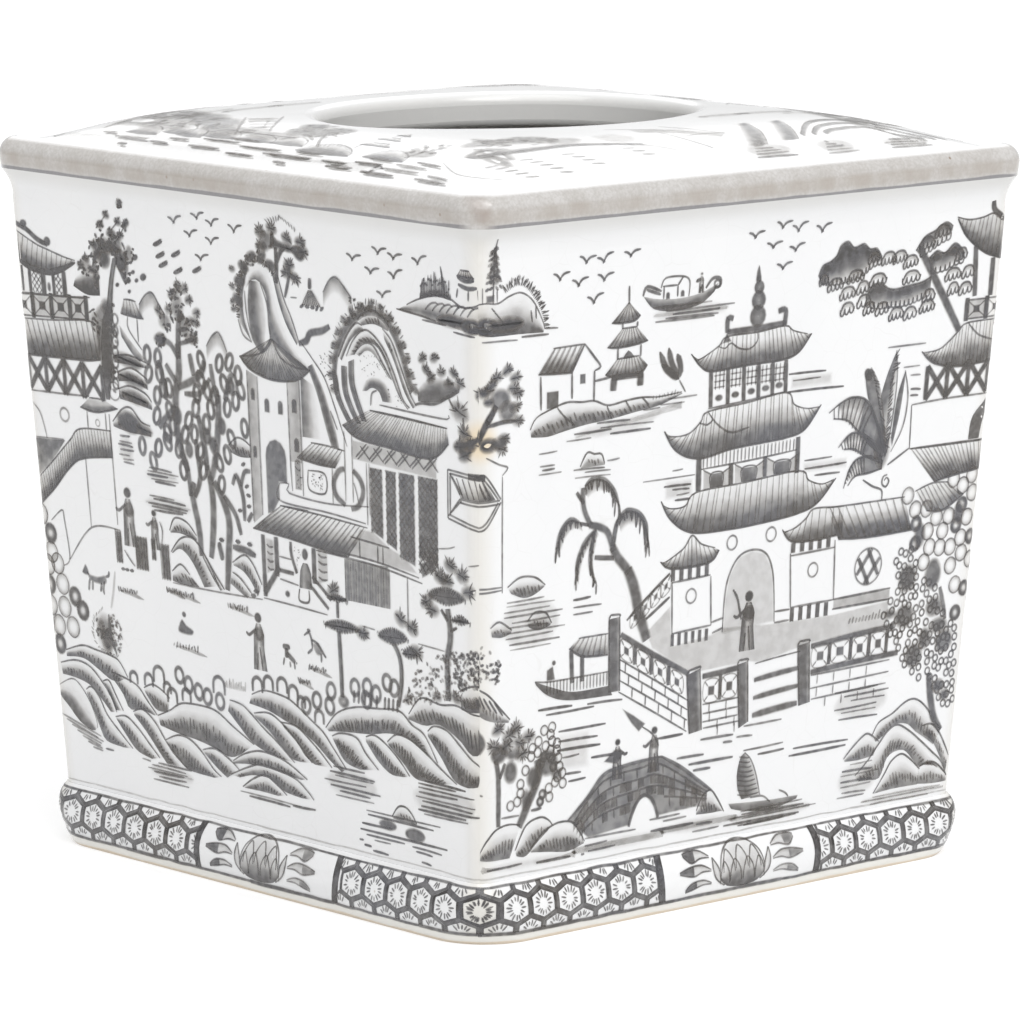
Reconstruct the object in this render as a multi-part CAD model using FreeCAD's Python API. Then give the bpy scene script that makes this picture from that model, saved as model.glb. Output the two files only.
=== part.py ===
# Square porcelain tissue box cover, slab-built: four tapered walls, a crowned top with an oval
# opening, a rolled rim and a bulging foot belt laid on in mitred lengths, and coils pressed into
# the inside corners. Millimetres, +Z up, the middle of the foot at the origin, front towards -Y.
import FreeCAD, Part
import math
import os
from FreeCAD import Vector

# Walls
rim_width = 152.0            # across the rim, outside
wall_height = 141.5          # foot to the seat that carries the rim and the top
wall_thickness = 6.0         # level thickness of each wall
wall_taper = 8.15            # how much the foot draws in on each side, under the flare
wall_corner_radius = 3.0     # upright outside corners
flare_height = 6.4           # hollow curve under the rim
flare_overhang = 2.5         # how far that curve leans out past the straight wall's line
flare_power = 2              # shape of the curve, 2 is a parabola
flare_sections = 5           # level outlines that the curve is drawn through

# Rim roll
rim_overhang = 0.35          # roll past the top of the flare
rim_nose_radius = 3.6        # rounded outer shoulder of the roll
rim_nose_limit_share = 0.8   # most of the roll's section that the shoulder may take
rim_crest = 0.8              # top of the roll above the edge of the top panel

# Top panel
top_thickness = 7.2
top_seat_width = 3.5         # how far the panel reaches over the walls
top_seat_bite = 1.5          # ground off the panel's edge so that it sits flat
top_corner_radius = 1.2
crown_rise = 7.0             # middle of the top above its edge
crown_power = 6              # even, larger is flatter in the middle and steeper at the edge
crown_grid = 13              # points each way that the crowned face passes through
opening_length = 84.5        # oval opening, along X
opening_width = 67.5         # oval opening, along Y
opening_lip_radius = 2.6     # rounded upper lip
opening_under_radius = 1.4   # rounded lower lip

# Foot belt
belt_height = 12.4
belt_lip = 0.4               # thickness of the belt at its upper edge
belt_bulge = 3.2             # fullest line past that edge
belt_corner_radius = 12.5    # corners of the belt where it is fullest
# Height, bulge and corner of each level outline, foot first
belt_shares = [(0.0, 0.72, 1.0), (0.14, 0.93, 0.98), (0.3, 1.0, 0.9), (0.5, 0.98, 0.7),
               (0.75, 0.68, 0.35), (1.0, 0.0, 0.0)]

# Inside coils
coil_leg = 5.0               # reach of each coil along the two faces that it joins
coil_foot_gap = 3.0          # upright coils end this far above the foot

cut_overrun = 8.0            # how far cutting shapes run past what they cut
crown_margin = 0.7           # crowned faces past the panel's edge
lip_match_share = 0.001      # how near to the oval an edge has to lie to count as its lip

# Worked out from the sizes above
rim_half = rim_width / 2
flare_top_half = rim_half - rim_overhang
waist_height = wall_height - flare_height
waist_half = flare_top_half - flare_overhang
wall_slope = wall_taper / waist_height
foot_half = waist_half - wall_taper
panel_edge = top_thickness - top_seat_bite
panel_half = foot_half + wall_slope * wall_height - wall_thickness + top_seat_width
rim_height = panel_edge + rim_crest
rim_depth = rim_half - panel_half
rim_corner_radius = top_corner_radius + rim_depth
panel_top = wall_height + panel_edge
reach = rim_half + cut_overrun
origin = Vector(0, 0, 0)
up = Vector(0, 0, 1)
side_names = ["front", "right", "back", "left"]
corner_names = ["front_right", "back_right", "back_left", "front_left"]
quarter_turn = 90.0
eighth_turn = 45.0
solids = {}


def outer_half(height):
    return foot_half + wall_slope * height


def inner_half(height):
    return outer_half(height) - wall_thickness


# Level outline of a square with rounded corners
def rounded_square(half, radius, height):
    flat = half - radius
    bend = radius * math.sin(math.radians(eighth_turn))
    edges = []
    for turn in range(len(side_names)):
        middle = Part.LineSegment(Vector(-flat, -half, height), Vector(flat, -half, height)).toShape()
        corner = Part.Arc(Vector(flat, -half, height),
                          Vector(flat + bend, -flat - bend, height),
                          Vector(half, -flat, height)).toShape()
        for edge in (middle, corner):
            edge.rotate(origin, up, turn * quarter_turn)
            edges.append(edge)
    return Part.Wire(edges)


def square_prism(half, radius, bottom, top):
    return Part.Face(rounded_square(half, radius, bottom)).extrude(Vector(0, 0, top - bottom))


# Quarter of the plan that belongs to the front, cut at the two mitres
def front_wedge():
    low = -cut_overrun
    high = panel_top + crown_rise + cut_overrun
    corners = [Vector(0, 0, low), Vector(-reach, -reach, low), Vector(reach, -reach, low)]
    return Part.Face(Part.makePolygon(corners + corners[:1])).extrude(Vector(0, 0, high - low))


# One shape on each of the four sides, or in each of the four corners
def repeat_round(prefix, names, shape):
    for turn, name in enumerate(names):
        copy = shape.copy()
        copy.rotate(origin, up, turn * quarter_turn)
        solids[prefix + "_" + name] = copy


def only_solid(shape):
    return shape.Solids[0]


# Straight tapered block inside the outer faces of the walls
def wall_block():
    return Part.makeLoft([rounded_square(outer_half(0), wall_corner_radius, 0),
                          rounded_square(waist_half, wall_corner_radius, waist_height)], True, True)


# Hollow curve that carries the walls out under the rim
def flare_block():
    top_radius = rim_corner_radius - rim_overhang
    lean = flare_top_half - outer_half(wall_height)
    outlines = []
    for step in range(flare_sections):
        share = step / (flare_sections - 1)
        height = waist_height + flare_height * share
        half = outer_half(height) + lean * share ** flare_power
        radius = wall_corner_radius + (top_radius - wall_corner_radius) * share
        outlines.append(rounded_square(half, radius, height))
    return Part.makeLoft(outlines, True, False)


# Tapered hollow between the walls, with sharp corners for the coils to fill
def inside_block():
    outlines = []
    for height in (-cut_overrun, wall_height + cut_overrun):
        half = inner_half(height)
        corners = [Vector(-half, -half, height), Vector(half, -half, height),
                   Vector(half, half, height), Vector(-half, half, height)]
        outlines.append(Part.makePolygon(corners + corners[:1]))
    return Part.makeLoft(outlines, True, True)


def make_walls():
    shell = wall_block().fuse(flare_block()).cut(inside_block())
    repeat_round("wall", side_names, only_solid(shell.common(front_wedge())))


# Crowned face over the whole panel, lifted to the given height at the panel's edge
def crown_face(edge_height):
    span = panel_half + crown_margin
    rows = []
    for i in range(crown_grid):
        x = span * (2 * i / (crown_grid - 1) - 1)
        row = []
        for j in range(crown_grid):
            y = span * (2 * j / (crown_grid - 1) - 1)
            fall = (1 - (x / panel_half) ** crown_power) * (1 - (y / panel_half) ** crown_power)
            row.append(Vector(x, y, edge_height + crown_rise * fall))
        rows.append(row)
    surface = Part.BSplineSurface()
    surface.interpolate(rows)
    return surface.toShape()


# Upright oval block that cuts the opening
def opening_block():
    disc = Part.Face(Part.Wire(Part.Circle(origin, up, 1).toShape()))
    stretch = FreeCAD.Matrix()
    stretch.scale(opening_length / 2, opening_width / 2, 1)
    oval = disc.transformGeometry(stretch)
    oval.translate(Vector(0, 0, wall_height - cut_overrun))
    return oval.extrude(Vector(0, 0, top_thickness + crown_rise + 2 * cut_overrun))


# Rings of edges round the opening, the upper lip and the lower lip
def opening_lips(panel):
    lips = []
    for edge in panel.Edges:
        middle = edge.valueAt((edge.FirstParameter + edge.LastParameter) / 2)
        along = (middle.x / (opening_length / 2)) ** 2 + (middle.y / (opening_width / 2)) ** 2
        level = edge.BoundBox.ZLength < top_thickness / 2
        if level and abs(along - 1) < lip_match_share:
            lips.append(edge)
    middle_height = panel_top + crown_rise - top_thickness / 2
    upper = [lip for lip in lips if lip.BoundBox.Center.z > middle_height]
    lower = [lip for lip in lips if lip.BoundBox.Center.z <= middle_height]
    return upper, lower


def make_top_panel():
    sky = Vector(0, 0, top_thickness + crown_rise + cut_overrun)
    blank = square_prism(panel_half, top_corner_radius, wall_height, panel_top + crown_rise + cut_overrun)
    above = crown_face(panel_top).extrude(sky)
    below = crown_face(panel_top - top_thickness).extrude(-sky)
    panel = only_solid(blank.cut(above).cut(below).cut(opening_block()))
    upper, lower = opening_lips(panel)
    panel = panel.makeFillet(opening_lip_radius, upper)
    upper, lower = opening_lips(panel)
    panel = panel.makeFillet(opening_under_radius, lower)
    solids["top_panel"] = only_solid(panel)


# Section of the roll on its seat: flat under, leaning out, rounded over and falling to the panel
def rim_section(start):
    nose = min(rim_nose_radius, rim_nose_limit_share * rim_depth, rim_nose_limit_share * rim_height)
    turn = nose * math.sin(math.radians(eighth_turn))

    def point(out, rise):
        return Vector(start, -panel_half - out, wall_height + rise)

    inner_foot = point(0, 0)
    outer_foot = point(rim_depth - rim_overhang, 0)
    nose_low = point(rim_depth, rim_height - nose)
    nose_middle = point(rim_depth - nose + turn, rim_height - nose + turn)
    crest = point(rim_depth - nose, rim_height)
    inner_top = point(0, panel_edge)
    edges = [Part.LineSegment(inner_foot, outer_foot).toShape(),
             Part.LineSegment(outer_foot, nose_low).toShape(),
             Part.Arc(nose_low, nose_middle, crest).toShape(),
             Part.LineSegment(crest, inner_top).toShape(),
             Part.LineSegment(inner_top, inner_foot).toShape()]
    return Part.Face(Part.Wire(edges))


# One length of the roll: a straight run, and half of the turn at each corner
def make_rim():
    flat = panel_half - top_corner_radius
    run = rim_section(-flat).extrude(Vector(2 * flat, 0, 0))
    right_turn = rim_section(flat).revolve(Vector(flat, -flat, 0), up, eighth_turn)
    left_turn = rim_section(-flat).revolve(Vector(-flat, -flat, 0), up, -eighth_turn)
    length = run.fuse([right_turn, left_turn]).removeSplitter()
    repeat_round("rim", side_names, only_solid(length))


def make_belt():
    outlines = []
    upper_radius = wall_corner_radius + belt_lip
    for height_share, bulge_share, corner_share in belt_shares:
        height = belt_height * height_share
        half = outer_half(height) + belt_lip + belt_bulge * bulge_share
        radius = upper_radius + (belt_corner_radius - upper_radius) * corner_share
        outlines.append(rounded_square(half, radius, height))
    ring = Part.makeLoft(outlines, True, False).cut(wall_block())
    repeat_round("belt", side_names, only_solid(ring.common(front_wedge())))


# Hollow-faced coil in the front right upright corner, trimmed under the top panel
def corner_coil():
    outlines = []
    for height in (coil_foot_gap, wall_height + panel_edge / 2):
        corner = inner_half(height)
        back = corner - coil_leg
        bend = back + coil_leg * math.sin(math.radians(eighth_turn))
        start = Vector(back, -corner, height)
        end = Vector(corner, -back, height)
        edges = [Part.LineSegment(start, Vector(corner, -corner, height)).toShape(),
                 Part.LineSegment(Vector(corner, -corner, height), end).toShape(),
                 Part.Arc(end, Vector(bend, -bend, height), start).toShape()]
        outlines.append(Part.Wire(edges))
    return Part.makeLoft(outlines, True, True).cut(solids["top_panel"])


# Coil under the top along the front wall, mitred at both ends around the upright coils
def top_coil():
    low = wall_height - coil_leg
    high = wall_height + coil_leg
    lean = inner_half(low) - (high - low)
    corners = [Vector(-reach, -inner_half(low), low), Vector(-reach, -inner_half(high), high),
               Vector(-reach, -lean, high)]
    bar = Part.Face(Part.makePolygon(corners + corners[:1])).extrude(Vector(2 * reach, 0, 0))
    uprights = [solids["corner_coil_front_right"], solids["corner_coil_front_left"]]
    return bar.common(front_wedge()).cut([solids["top_panel"]] + uprights)


def make_coils():
    repeat_round("corner_coil", corner_names, only_solid(corner_coil()))
    repeat_round("top_coil", side_names, only_solid(top_coil()))


make_walls()
make_top_panel()
make_rim()
make_belt()
make_coils()

os.makedirs("parts", exist_ok=True)
for name, solid in solids.items():
    solid.exportStep("parts/" + name + ".step")
    print(name, "volume", round(solid.Volume, 1), "valid", solid.isValid())
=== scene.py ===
import bpy
import bmesh
import math
import random
from mathutils import Matrix, Vector
from mathutils.bvhtree import BVHTree
from mathutils.geometry import interpolate_bezier


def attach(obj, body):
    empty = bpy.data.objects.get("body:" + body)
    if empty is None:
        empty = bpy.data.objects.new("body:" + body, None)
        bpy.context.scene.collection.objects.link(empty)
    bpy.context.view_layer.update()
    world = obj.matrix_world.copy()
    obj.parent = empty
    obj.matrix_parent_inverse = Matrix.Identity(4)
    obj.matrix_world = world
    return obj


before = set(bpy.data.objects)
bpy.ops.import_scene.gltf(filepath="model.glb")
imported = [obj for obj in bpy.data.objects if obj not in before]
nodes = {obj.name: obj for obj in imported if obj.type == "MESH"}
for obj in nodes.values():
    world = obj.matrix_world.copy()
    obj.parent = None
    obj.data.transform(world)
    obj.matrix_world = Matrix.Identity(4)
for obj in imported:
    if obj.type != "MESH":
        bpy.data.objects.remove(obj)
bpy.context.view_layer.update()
mm = 0.001
sides = ["front", "right", "back", "left"]
print("frame loaded,", len(nodes), "nodes")


# shader helpers

def put(tree, kind, sockets=None, **settings):
    made = tree.nodes.new(kind)
    for key, value in settings.items():
        setattr(made, key, value)
    for key, value in (sockets or {}).items():
        if isinstance(value, bpy.types.NodeSocket):
            tree.links.new(value, made.inputs[key])
        else:
            made.inputs[key].default_value = value
    return made


def calc(tree, operation, a, b=0.0, c=0.0):
    return put(tree, "ShaderNodeMath", {0: a, 1: b, 2: c}, operation=operation).outputs[0]


def fade(tree, value, low, high, start=0.0, end=1.0):
    made = put(tree, "ShaderNodeMapRange", {0: value, 1: low, 2: high, 3: start, 4: end},
               interpolation_type="SMOOTHSTEP")
    return made.outputs[0]


def fadeOut(tree, value, low, high):
    return fade(tree, value, low, high, 1.0, 0.0)


def between(tree, value, rising, falling):
    return calc(tree, "MULTIPLY", fade(tree, value, *rising), fadeOut(tree, value, *falling))


def tint(tree, factor, a, b):
    made = put(tree, "ShaderNodeMix", {0: factor, 6: a, 7: b}, data_type="RGBA")
    return made.outputs[2]


def newGroup(name, inputs, outputs):
    group = bpy.data.node_groups.new(name, "ShaderNodeTree")
    for label, value in inputs.items():
        socket = group.interface.new_socket(label, in_out="INPUT", socket_type="NodeSocketFloat")
        socket.default_value = value
    for label in outputs:
        group.interface.new_socket(label, in_out="OUTPUT", socket_type="NodeSocketFloat")
    inside = group.nodes.new("NodeGroupInput")
    outside = group.nodes.new("NodeGroupOutput")
    return group, inside.outputs, outside.inputs


def place(tree, group, **values):
    made = put(tree, "ShaderNodeGroup", node_tree=group)
    for label, value in values.items():
        made.inputs[label].default_value = value
    return made.outputs


patternLook = {"cloud": (0.3, 0.7), "speckCore": 0.4, "crackBend": 0.004, "crackBendScale": 120.0}


# soft clouds in a glaze, drawn out downwards where Run is under 1
def cloudGroup():
    group, given, result = newGroup("glazeClouds", {"Scale": 60.0, "Run": 1.0, "Detail": 2.0}, ["Cloud"])
    spot = put(group, "ShaderNodeTexCoord").outputs["Object"]
    part = put(group, "ShaderNodeSeparateXYZ", {0: spot}).outputs
    fall = calc(group, "MULTIPLY", part[2], given["Run"])
    spot = put(group, "ShaderNodeCombineXYZ", {0: part[0], 1: part[1], 2: fall}).outputs[0]
    noise = put(group, "ShaderNodeTexNoise",
                {"Vector": spot, "Scale": given["Scale"], "Detail": given["Detail"]})
    group.links.new(fade(group, noise.outputs["Fac"], *patternLook["cloud"]), result["Cloud"])
    return group


# iron specks, in only a share of the cells
def speckGroup():
    group, given, result = newGroup("ironSpecks", {"Scale": 300.0, "Size": 0.18, "Share": 0.2}, ["Specks"])
    spot = put(group, "ShaderNodeTexCoord").outputs["Object"]
    cells = put(group, "ShaderNodeTexVoronoi", {"Vector": spot, "Scale": given["Scale"]}, feature="F1")
    core = calc(group, "MULTIPLY", given["Size"], patternLook["speckCore"])
    dots = fadeOut(group, cells.outputs["Distance"], core, given["Size"])
    lot = put(group, "ShaderNodeSeparateColor", {0: cells.outputs["Color"]}).outputs[0]
    chosen = calc(group, "LESS_THAN", lot, given["Share"])
    group.links.new(calc(group, "MULTIPLY", dots, chosen), result["Specks"])
    return group


# hair-fine crackle in a glaze
def crackleGroup():
    group, given, result = newGroup("glazeCrackle", {"Scale": 260.0, "Width": 0.03}, ["Cracks"])
    spot = put(group, "ShaderNodeTexCoord").outputs["Object"]
    noise = put(group, "ShaderNodeTexNoise",
                {"Vector": spot, "Scale": patternLook["crackBendScale"], "Detail": 1.0})
    bent = {0: noise.outputs["Color"], "Scale": patternLook["crackBend"]}
    bent = put(group, "ShaderNodeVectorMath", bent, operation="SCALE").outputs[0]
    spot = put(group, "ShaderNodeVectorMath", {0: spot, 1: bent}, operation="ADD").outputs[0]
    cells = put(group, "ShaderNodeTexVoronoi", {"Vector": spot, "Scale": given["Scale"]},
                feature="DISTANCE_TO_EDGE")
    group.links.new(fadeOut(group, cells.outputs["Distance"], 0.0, given["Width"]), result["Cracks"])
    return group


# bounds of the cover's regions in metres, and of slopes as shares
regionLook = {
    "footHalf": 0.065, "wallSlope": 0.0603, "corner": (0.92, 1.0), "hollow": (-0.95, -0.35),
    "under": (-0.6, -0.3), "underHeight": 0.1, "panelHalf": 0.0689, "browRise": (0.1454, 0.1472),
    "browReach": (0.0042, 0.0058), "waveScale": 90.0, "wave": 0.0008, "seamLow": (0.1414, 0.1416),
    "seamHigh": (0.1424, 0.1427), "seamEnd": (0.0700, 0.0735), "middleLow": (0.1420, 0.1432),
    "middleHigh": (0.1444, 0.1458), "nearSpot": (-0.0748, -0.0735, 0.1440), "nearReach": (0.0010, 0.0055),
    "stainSpot": (-0.0700, -0.0700, 0.1000), "stainReach": (0.0015, 0.0055),
}


# where on the cover a point is: near an upright corner, inside, on the cream foot or its bare edge,
# on the rim's pale brow, on the line round its foot, on its burnt middle, by the front left corner
# or in the stain below that
def regionGroup(look):
    group, given, result = newGroup("coverRegions", {"Foot": 0.0022, "Edge": 0.0006},
            ["Corner", "Inside", "Cream", "Clay", "Brow", "Seam", "Near", "Middle", "Stain"])
    spot = put(group, "ShaderNodeTexCoord").outputs["Object"]
    part = put(group, "ShaderNodeSeparateXYZ", {0: spot}).outputs
    wide = calc(group, "ABSOLUTE", part[0])
    deep = calc(group, "ABSOLUTE", part[1])
    half = calc(group, "MULTIPLY_ADD", part[2], look["wallSlope"], look["footHalf"])
    corner = calc(group, "DIVIDE", calc(group, "MINIMUM", wide, deep), half)
    group.links.new(fade(group, corner, *look["corner"]), result["Corner"])
    normal = put(group, "ShaderNodeNewGeometry").outputs["Normal"]
    out = put(group, "ShaderNodeVectorMath", {0: spot, 1: (1.0, 1.0, 0.0)}, operation="MULTIPLY").outputs[0]
    out = put(group, "ShaderNodeVectorMath", {0: out}, operation="NORMALIZE").outputs[0]
    facing = put(group, "ShaderNodeVectorMath", {0: out, 1: normal},
            operation="DOT_PRODUCT").outputs["Value"]
    hollow = fadeOut(group, facing, *look["hollow"])
    under = fadeOut(group, put(group, "ShaderNodeSeparateXYZ", {0: normal}).outputs[2], *look["under"])
    past = [calc(group, "MAXIMUM", calc(group, "SUBTRACT", way, look["panelHalf"]), 0.0) for way in (wide,
            deep)]
    past = put(group, "ShaderNodeCombineXYZ", {0: past[0], 1: past[1]}).outputs[0]
    reach = put(group, "ShaderNodeVectorMath", {0: past}, operation="LENGTH").outputs["Value"]
    wavy = put(group, "ShaderNodeTexNoise",
               {"Vector": spot, "Scale": look["waveScale"], "Detail": 1.0}).outputs["Fac"]
    rise = fade(group, part[2], *look["browRise"])
    group.links.new(calc(group, "MULTIPLY", rise, fadeOut(group, reach, *look["browReach"])),
            result["Brow"])
    level = calc(group, "MULTIPLY_ADD", wavy, look["wave"], part[2])
    seam = between(group, level, look["seamLow"], look["seamHigh"])
    short = fadeOut(group, calc(group, "MINIMUM", wide, deep), *look["seamEnd"])
    group.links.new(calc(group, "MULTIPLY", seam, short), result["Seam"])
    group.links.new(between(group, part[2], look["middleLow"], look["middleHigh"]), result["Middle"])
    for label, middle, reaches in (("Near", "nearSpot", "nearReach"), ("Stain", "stainSpot", "stainReach")):
        away = put(group, "ShaderNodeVectorMath", {0: spot, 1: look[middle]}, operation="DISTANCE")
        group.links.new(fadeOut(group, away.outputs["Value"], *look[reaches]), result[label])
    high = calc(group, "GREATER_THAN", part[2], look["underHeight"])
    group.links.new(calc(group, "MAXIMUM", hollow, calc(group, "MULTIPLY", under, high)), result["Inside"])
    height = calc(group, "MULTIPLY_ADD", wavy, -look["wave"], part[2])
    group.links.new(calc(group, "LESS_THAN", height, given["Foot"]), result["Cream"])
    group.links.new(fadeOut(group, height, 0.0, given["Edge"]), result["Clay"])
    return group


clouds = cloudGroup()
specks = speckGroup()
crackle = crackleGroup()
regions = regionGroup(regionLook)


# glazes

def newMaterial(name):
    material = bpy.data.materials.new(name)
    material.use_nodes = True
    tree = material.node_tree
    return material, tree, tree.nodes["Principled BSDF"]


def veil(tree, colour, mask, look, name):  # lays the colour of that name over another, as deep as its Depth
    return tint(tree, calc(tree, "MULTIPLY", mask, look[name + "Depth"]), colour, look[name])


def makeGlaze(name, look):
    material, tree, shader = newMaterial(name)
    cloud = place(tree, clouds, Scale=look["cloudScale"], Run=look["cloudRun"])["Cloud"]
    colour = tint(tree, cloud, look["colour"], look["cloud"])
    if "hair" in look:
        hairs = place(tree, clouds, Scale=look["hairScale"], Run=look["hairRun"])["Cloud"]
        colour = veil(tree, colour, hairs, look, "hair")
    dots = place(tree, specks, Scale=look["speckScale"], Size=look["speckSize"],
            Share=look["speckShare"])["Specks"]
    colour = veil(tree, colour, dots, look, "speck")
    rough = calc(tree, "MULTIPLY_ADD", cloud, look["roughSpread"], look["rough"])
    swell = place(tree, clouds, Scale=look["swellScale"], Run=0.8, Detail=1.0)["Cloud"]
    cracks = place(tree, crackle, Scale=look["crackScale"], Width=look["crackWidth"])["Cracks"]
    colour = veil(tree, colour, cracks, look, "crack")
    if "corner" in look:
        where = place(tree, regions, Foot=look["footHeight"], Edge=look["edgeHeight"])
        # darker beige at the upright corners: partly the glaze's own tone, partly painted shade
        colour = veil(tree, colour, where["Corner"], look, "corner")
        colour = veil(tree, colour, where["Stain"], look, "stain")
        # painted shade: grey over the inside of the cover and the underside of the top
        colour = tint(tree, where["Inside"], colour, look["inside"])
        colour = tint(tree, where["Cream"], colour, look["cream"])
        colour = tint(tree, where["Clay"], colour, look["clay"])
        rough = calc(tree, "MAXIMUM", rough, calc(tree, "MULTIPLY", where["Clay"], look["clayRough"]))
    if "brow" in look:
        where = place(tree, regions)
        burnt = calc(tree, "MULTIPLY", where["Middle"],
                calc(tree, "MULTIPLY_ADD", cloud, look["burntSpread"], look["burntLeast"]))
        colour = veil(tree, colour, burnt, look, "middle")
        stained = calc(tree, "MULTIPLY", where["Near"], cloud)
        colour = veil(tree, colour, stained, look, "near")
        colour = tint(tree, where["Brow"], colour, look["brow"])
        colour = veil(tree, colour, where["Seam"], look, "seam")
    bump = put(tree, "ShaderNodeBump",
               {"Height": swell, "Strength": look["bump"], "Distance": look["bumpDepth"]})
    tree.links.new(colour, shader.inputs["Base Color"])
    tree.links.new(rough, shader.inputs["Roughness"])
    tree.links.new(bump.outputs[0], shader.inputs["Normal"])
    shader.inputs["Coat Weight"].default_value = look["coat"]
    shader.inputs["Coat Roughness"].default_value = look["coatRough"]
    return material


whiteLook = {
    "colour": (0.845, 0.847, 0.85, 1), "cloud": (0.825, 0.828, 0.835, 1), "cloudScale": 34.0,
    "cloudRun": 0.35, "speck": (0.30, 0.22, 0.15, 1), "speckScale": 160.0, "speckSize": 0.06,
    "speckShare": 0.03, "speckDepth": 0.5, "crack": (0.62, 0.60, 0.57, 1), "crackScale": 150.0,
    "crackWidth": 0.012, "crackDepth": 0.14, "rough": 0.16, "roughSpread": 0.08, "swellScale": 38.0,
    # corner: darker beige at the upright corners, partly the glaze's own tone along the seam, partly
    # painted shade of the corner turning from the light
    "bump": 0.12, "bumpDepth": 0.0006, "corner": (0.66, 0.625, 0.55, 1), "cornerDepth": 0.55,
    # inside, at the end of the next line: painted shade over the inside of the cover and the underside of
    # the top
    "stain": (0.78, 0.58, 0.30, 1), "stainDepth": 0.55, "inside": (0.72, 0.715, 0.70, 1),
    "cream": (0.86, 0.845, 0.80, 1), "footHeight": 0.0018, "clay": (0.76, 0.66, 0.53, 1),
    "edgeHeight": 0.0004, "clayRough": 0.8, "coat": 0.5, "coatRough": 0.05,
}
rimLook = {
    "colour": (0.58, 0.565, 0.55, 1), "cloud": (0.52, 0.50, 0.48, 1), "cloudScale": 200.0, "cloudRun": 0.6,
    "hair": (0.33, 0.30, 0.27, 1), "hairScale": 1500.0, "hairRun": 0.9, "hairDepth": 0.3,
    "speck": (0.22, 0.15, 0.09, 1), "speckScale": 420.0, "speckSize": 0.19, "speckShare": 0.10,
    "speckDepth": 0.8, "crack": (0.36, 0.33, 0.30, 1), "crackScale": 620.0, "crackWidth": 0.05,
    "crackDepth": 0.25, "rough": 0.16, "roughSpread": 0.1, "swellScale": 130.0, "bump": 0.25,
    "bumpDepth": 0.0004, "brow": (0.82, 0.82, 0.83, 1), "seam": (0.13, 0.13, 0.145, 1), "seamDepth": 0.72,
    "middle": (0.41, 0.365, 0.32, 1), "middleDepth": 0.75, "burntSpread": 0.6, "burntLeast": 0.4,
    "near": (0.30, 0.24, 0.21, 1), "nearDepth": 0.6, "coat": 0.6, "coatRough": 0.04,
}
# glaze of the fillets inside the cover: rougher and thinly coated, its colour darkened grey as painted
# shade of the hollow
shadedInsideLook = {
    "colour": (0.66, 0.645, 0.62, 1), "cloud": (0.59, 0.575, 0.55, 1), "cloudScale": 34.0, "cloudRun": 0.35,
    "speck": (0.30, 0.22, 0.15, 1), "speckScale": 160.0, "speckSize": 0.08, "speckShare": 0.06,
    "speckDepth": 0.6, "crack": (0.45, 0.42, 0.38, 1), "crackScale": 150.0, "crackWidth": 0.02,
    "crackDepth": 0.3, "rough": 0.4, "roughSpread": 0.1, "swellScale": 38.0, "bump": 0.2,
    "bumpDepth": 0.0006, "coat": 0.1, "coatRough": 0.1,
}
inkLook = {
    "cool": (0.084, 0.084, 0.096, 1), "warm": (0.070, 0.060, 0.051, 1), "thin": (0.165, 0.137, 0.108, 1),
    "deep": (0.026, 0.023, 0.021, 1), "thinRange": (0.1, 0.5), "deepRange": (0.66, 0.95), "hueScale": 46.0,
    "soft": 0.4, "mottleScale": 520.0, "mottle": 0.34, "depth": 1.6, "rough": 0.18, "coat": 0.5,
    "coatRough": 0.05,
}


# painted under the glaze: the ink thins at the edges of a stroke and pools unevenly
def makeInk(name, look):
    material, tree, shader = newMaterial(name)
    ink = put(tree, "ShaderNodeAttribute", attribute_name="ink").outputs["Fac"]
    side = put(tree, "ShaderNodeAttribute", attribute_name="side").outputs["Fac"]
    body = fadeOut(tree, calc(tree, "ABSOLUTE", side), look["soft"], 1.0)
    pool = place(tree, clouds, Scale=look["mottleScale"], Run=1.0, Detail=1.0)["Cloud"]
    pool = calc(tree, "MULTIPLY_ADD", pool, look["mottle"], 1.0 - look["mottle"] * 0.6)
    cover = calc(tree, "MULTIPLY", calc(tree, "MULTIPLY", ink, body), pool)
    bare = calc(tree, "POWER", calc(tree, "MAXIMUM", calc(tree, "SUBTRACT", 1.0, cover), 0.0),
                look["depth"])
    tree.links.new(calc(tree, "SUBTRACT", 1.0, bare), shader.inputs["Alpha"])
    hue = place(tree, clouds, Scale=look["hueScale"], Run=1.0, Detail=2.0)["Cloud"]
    colour = tint(tree, fade(tree, cover, *look["thinRange"]), look["thin"],
            tint(tree, hue, look["cool"], look["warm"]))
    colour = tint(tree, fade(tree, cover, *look["deepRange"]), colour, look["deep"])
    tree.links.new(colour, shader.inputs["Base Color"])
    shader.inputs["Roughness"].default_value = look["rough"]
    shader.inputs["Coat Weight"].default_value = look["coat"]
    shader.inputs["Coat Roughness"].default_value = look["coatRough"]
    return material


whiteGlaze = makeGlaze("whiteGlaze", whiteLook)
rimGlaze = makeGlaze("rimGlaze", rimLook)
shadedInsideGlaze = makeGlaze("shadedInsideGlaze", shadedInsideLook)
greyInk = makeInk("greyInk", inkLook)


def dress(prefix, material):
    for name, node in nodes.items():
        if name.startswith(prefix):
            node.data.materials.clear()
            node.data.materials.append(material)


dress("wall_", whiteGlaze)
dress("belt_", whiteGlaze)
dress("top_panel", whiteGlaze)
dress("rim_", rimGlaze)
dress("corner_coil_", shadedInsideGlaze)
dress("top_coil_", shadedInsideGlaze)
print("glazes on")


# brushwork: strokes are laid on flat paper, u across a side and v up it in mm, and hung on the cover later
brush = {"pageVerts": 2500, "step": 1.0, "mostSteps": 9, "washStep": 1.6, "foldStep": 1.3, "half": 0.6,
         "lift": 0.05, "liftStep": 0.0015, "liftTurns": 60, "seed": 5}
hand = random.Random(brush["seed"])
paper = {}


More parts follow.
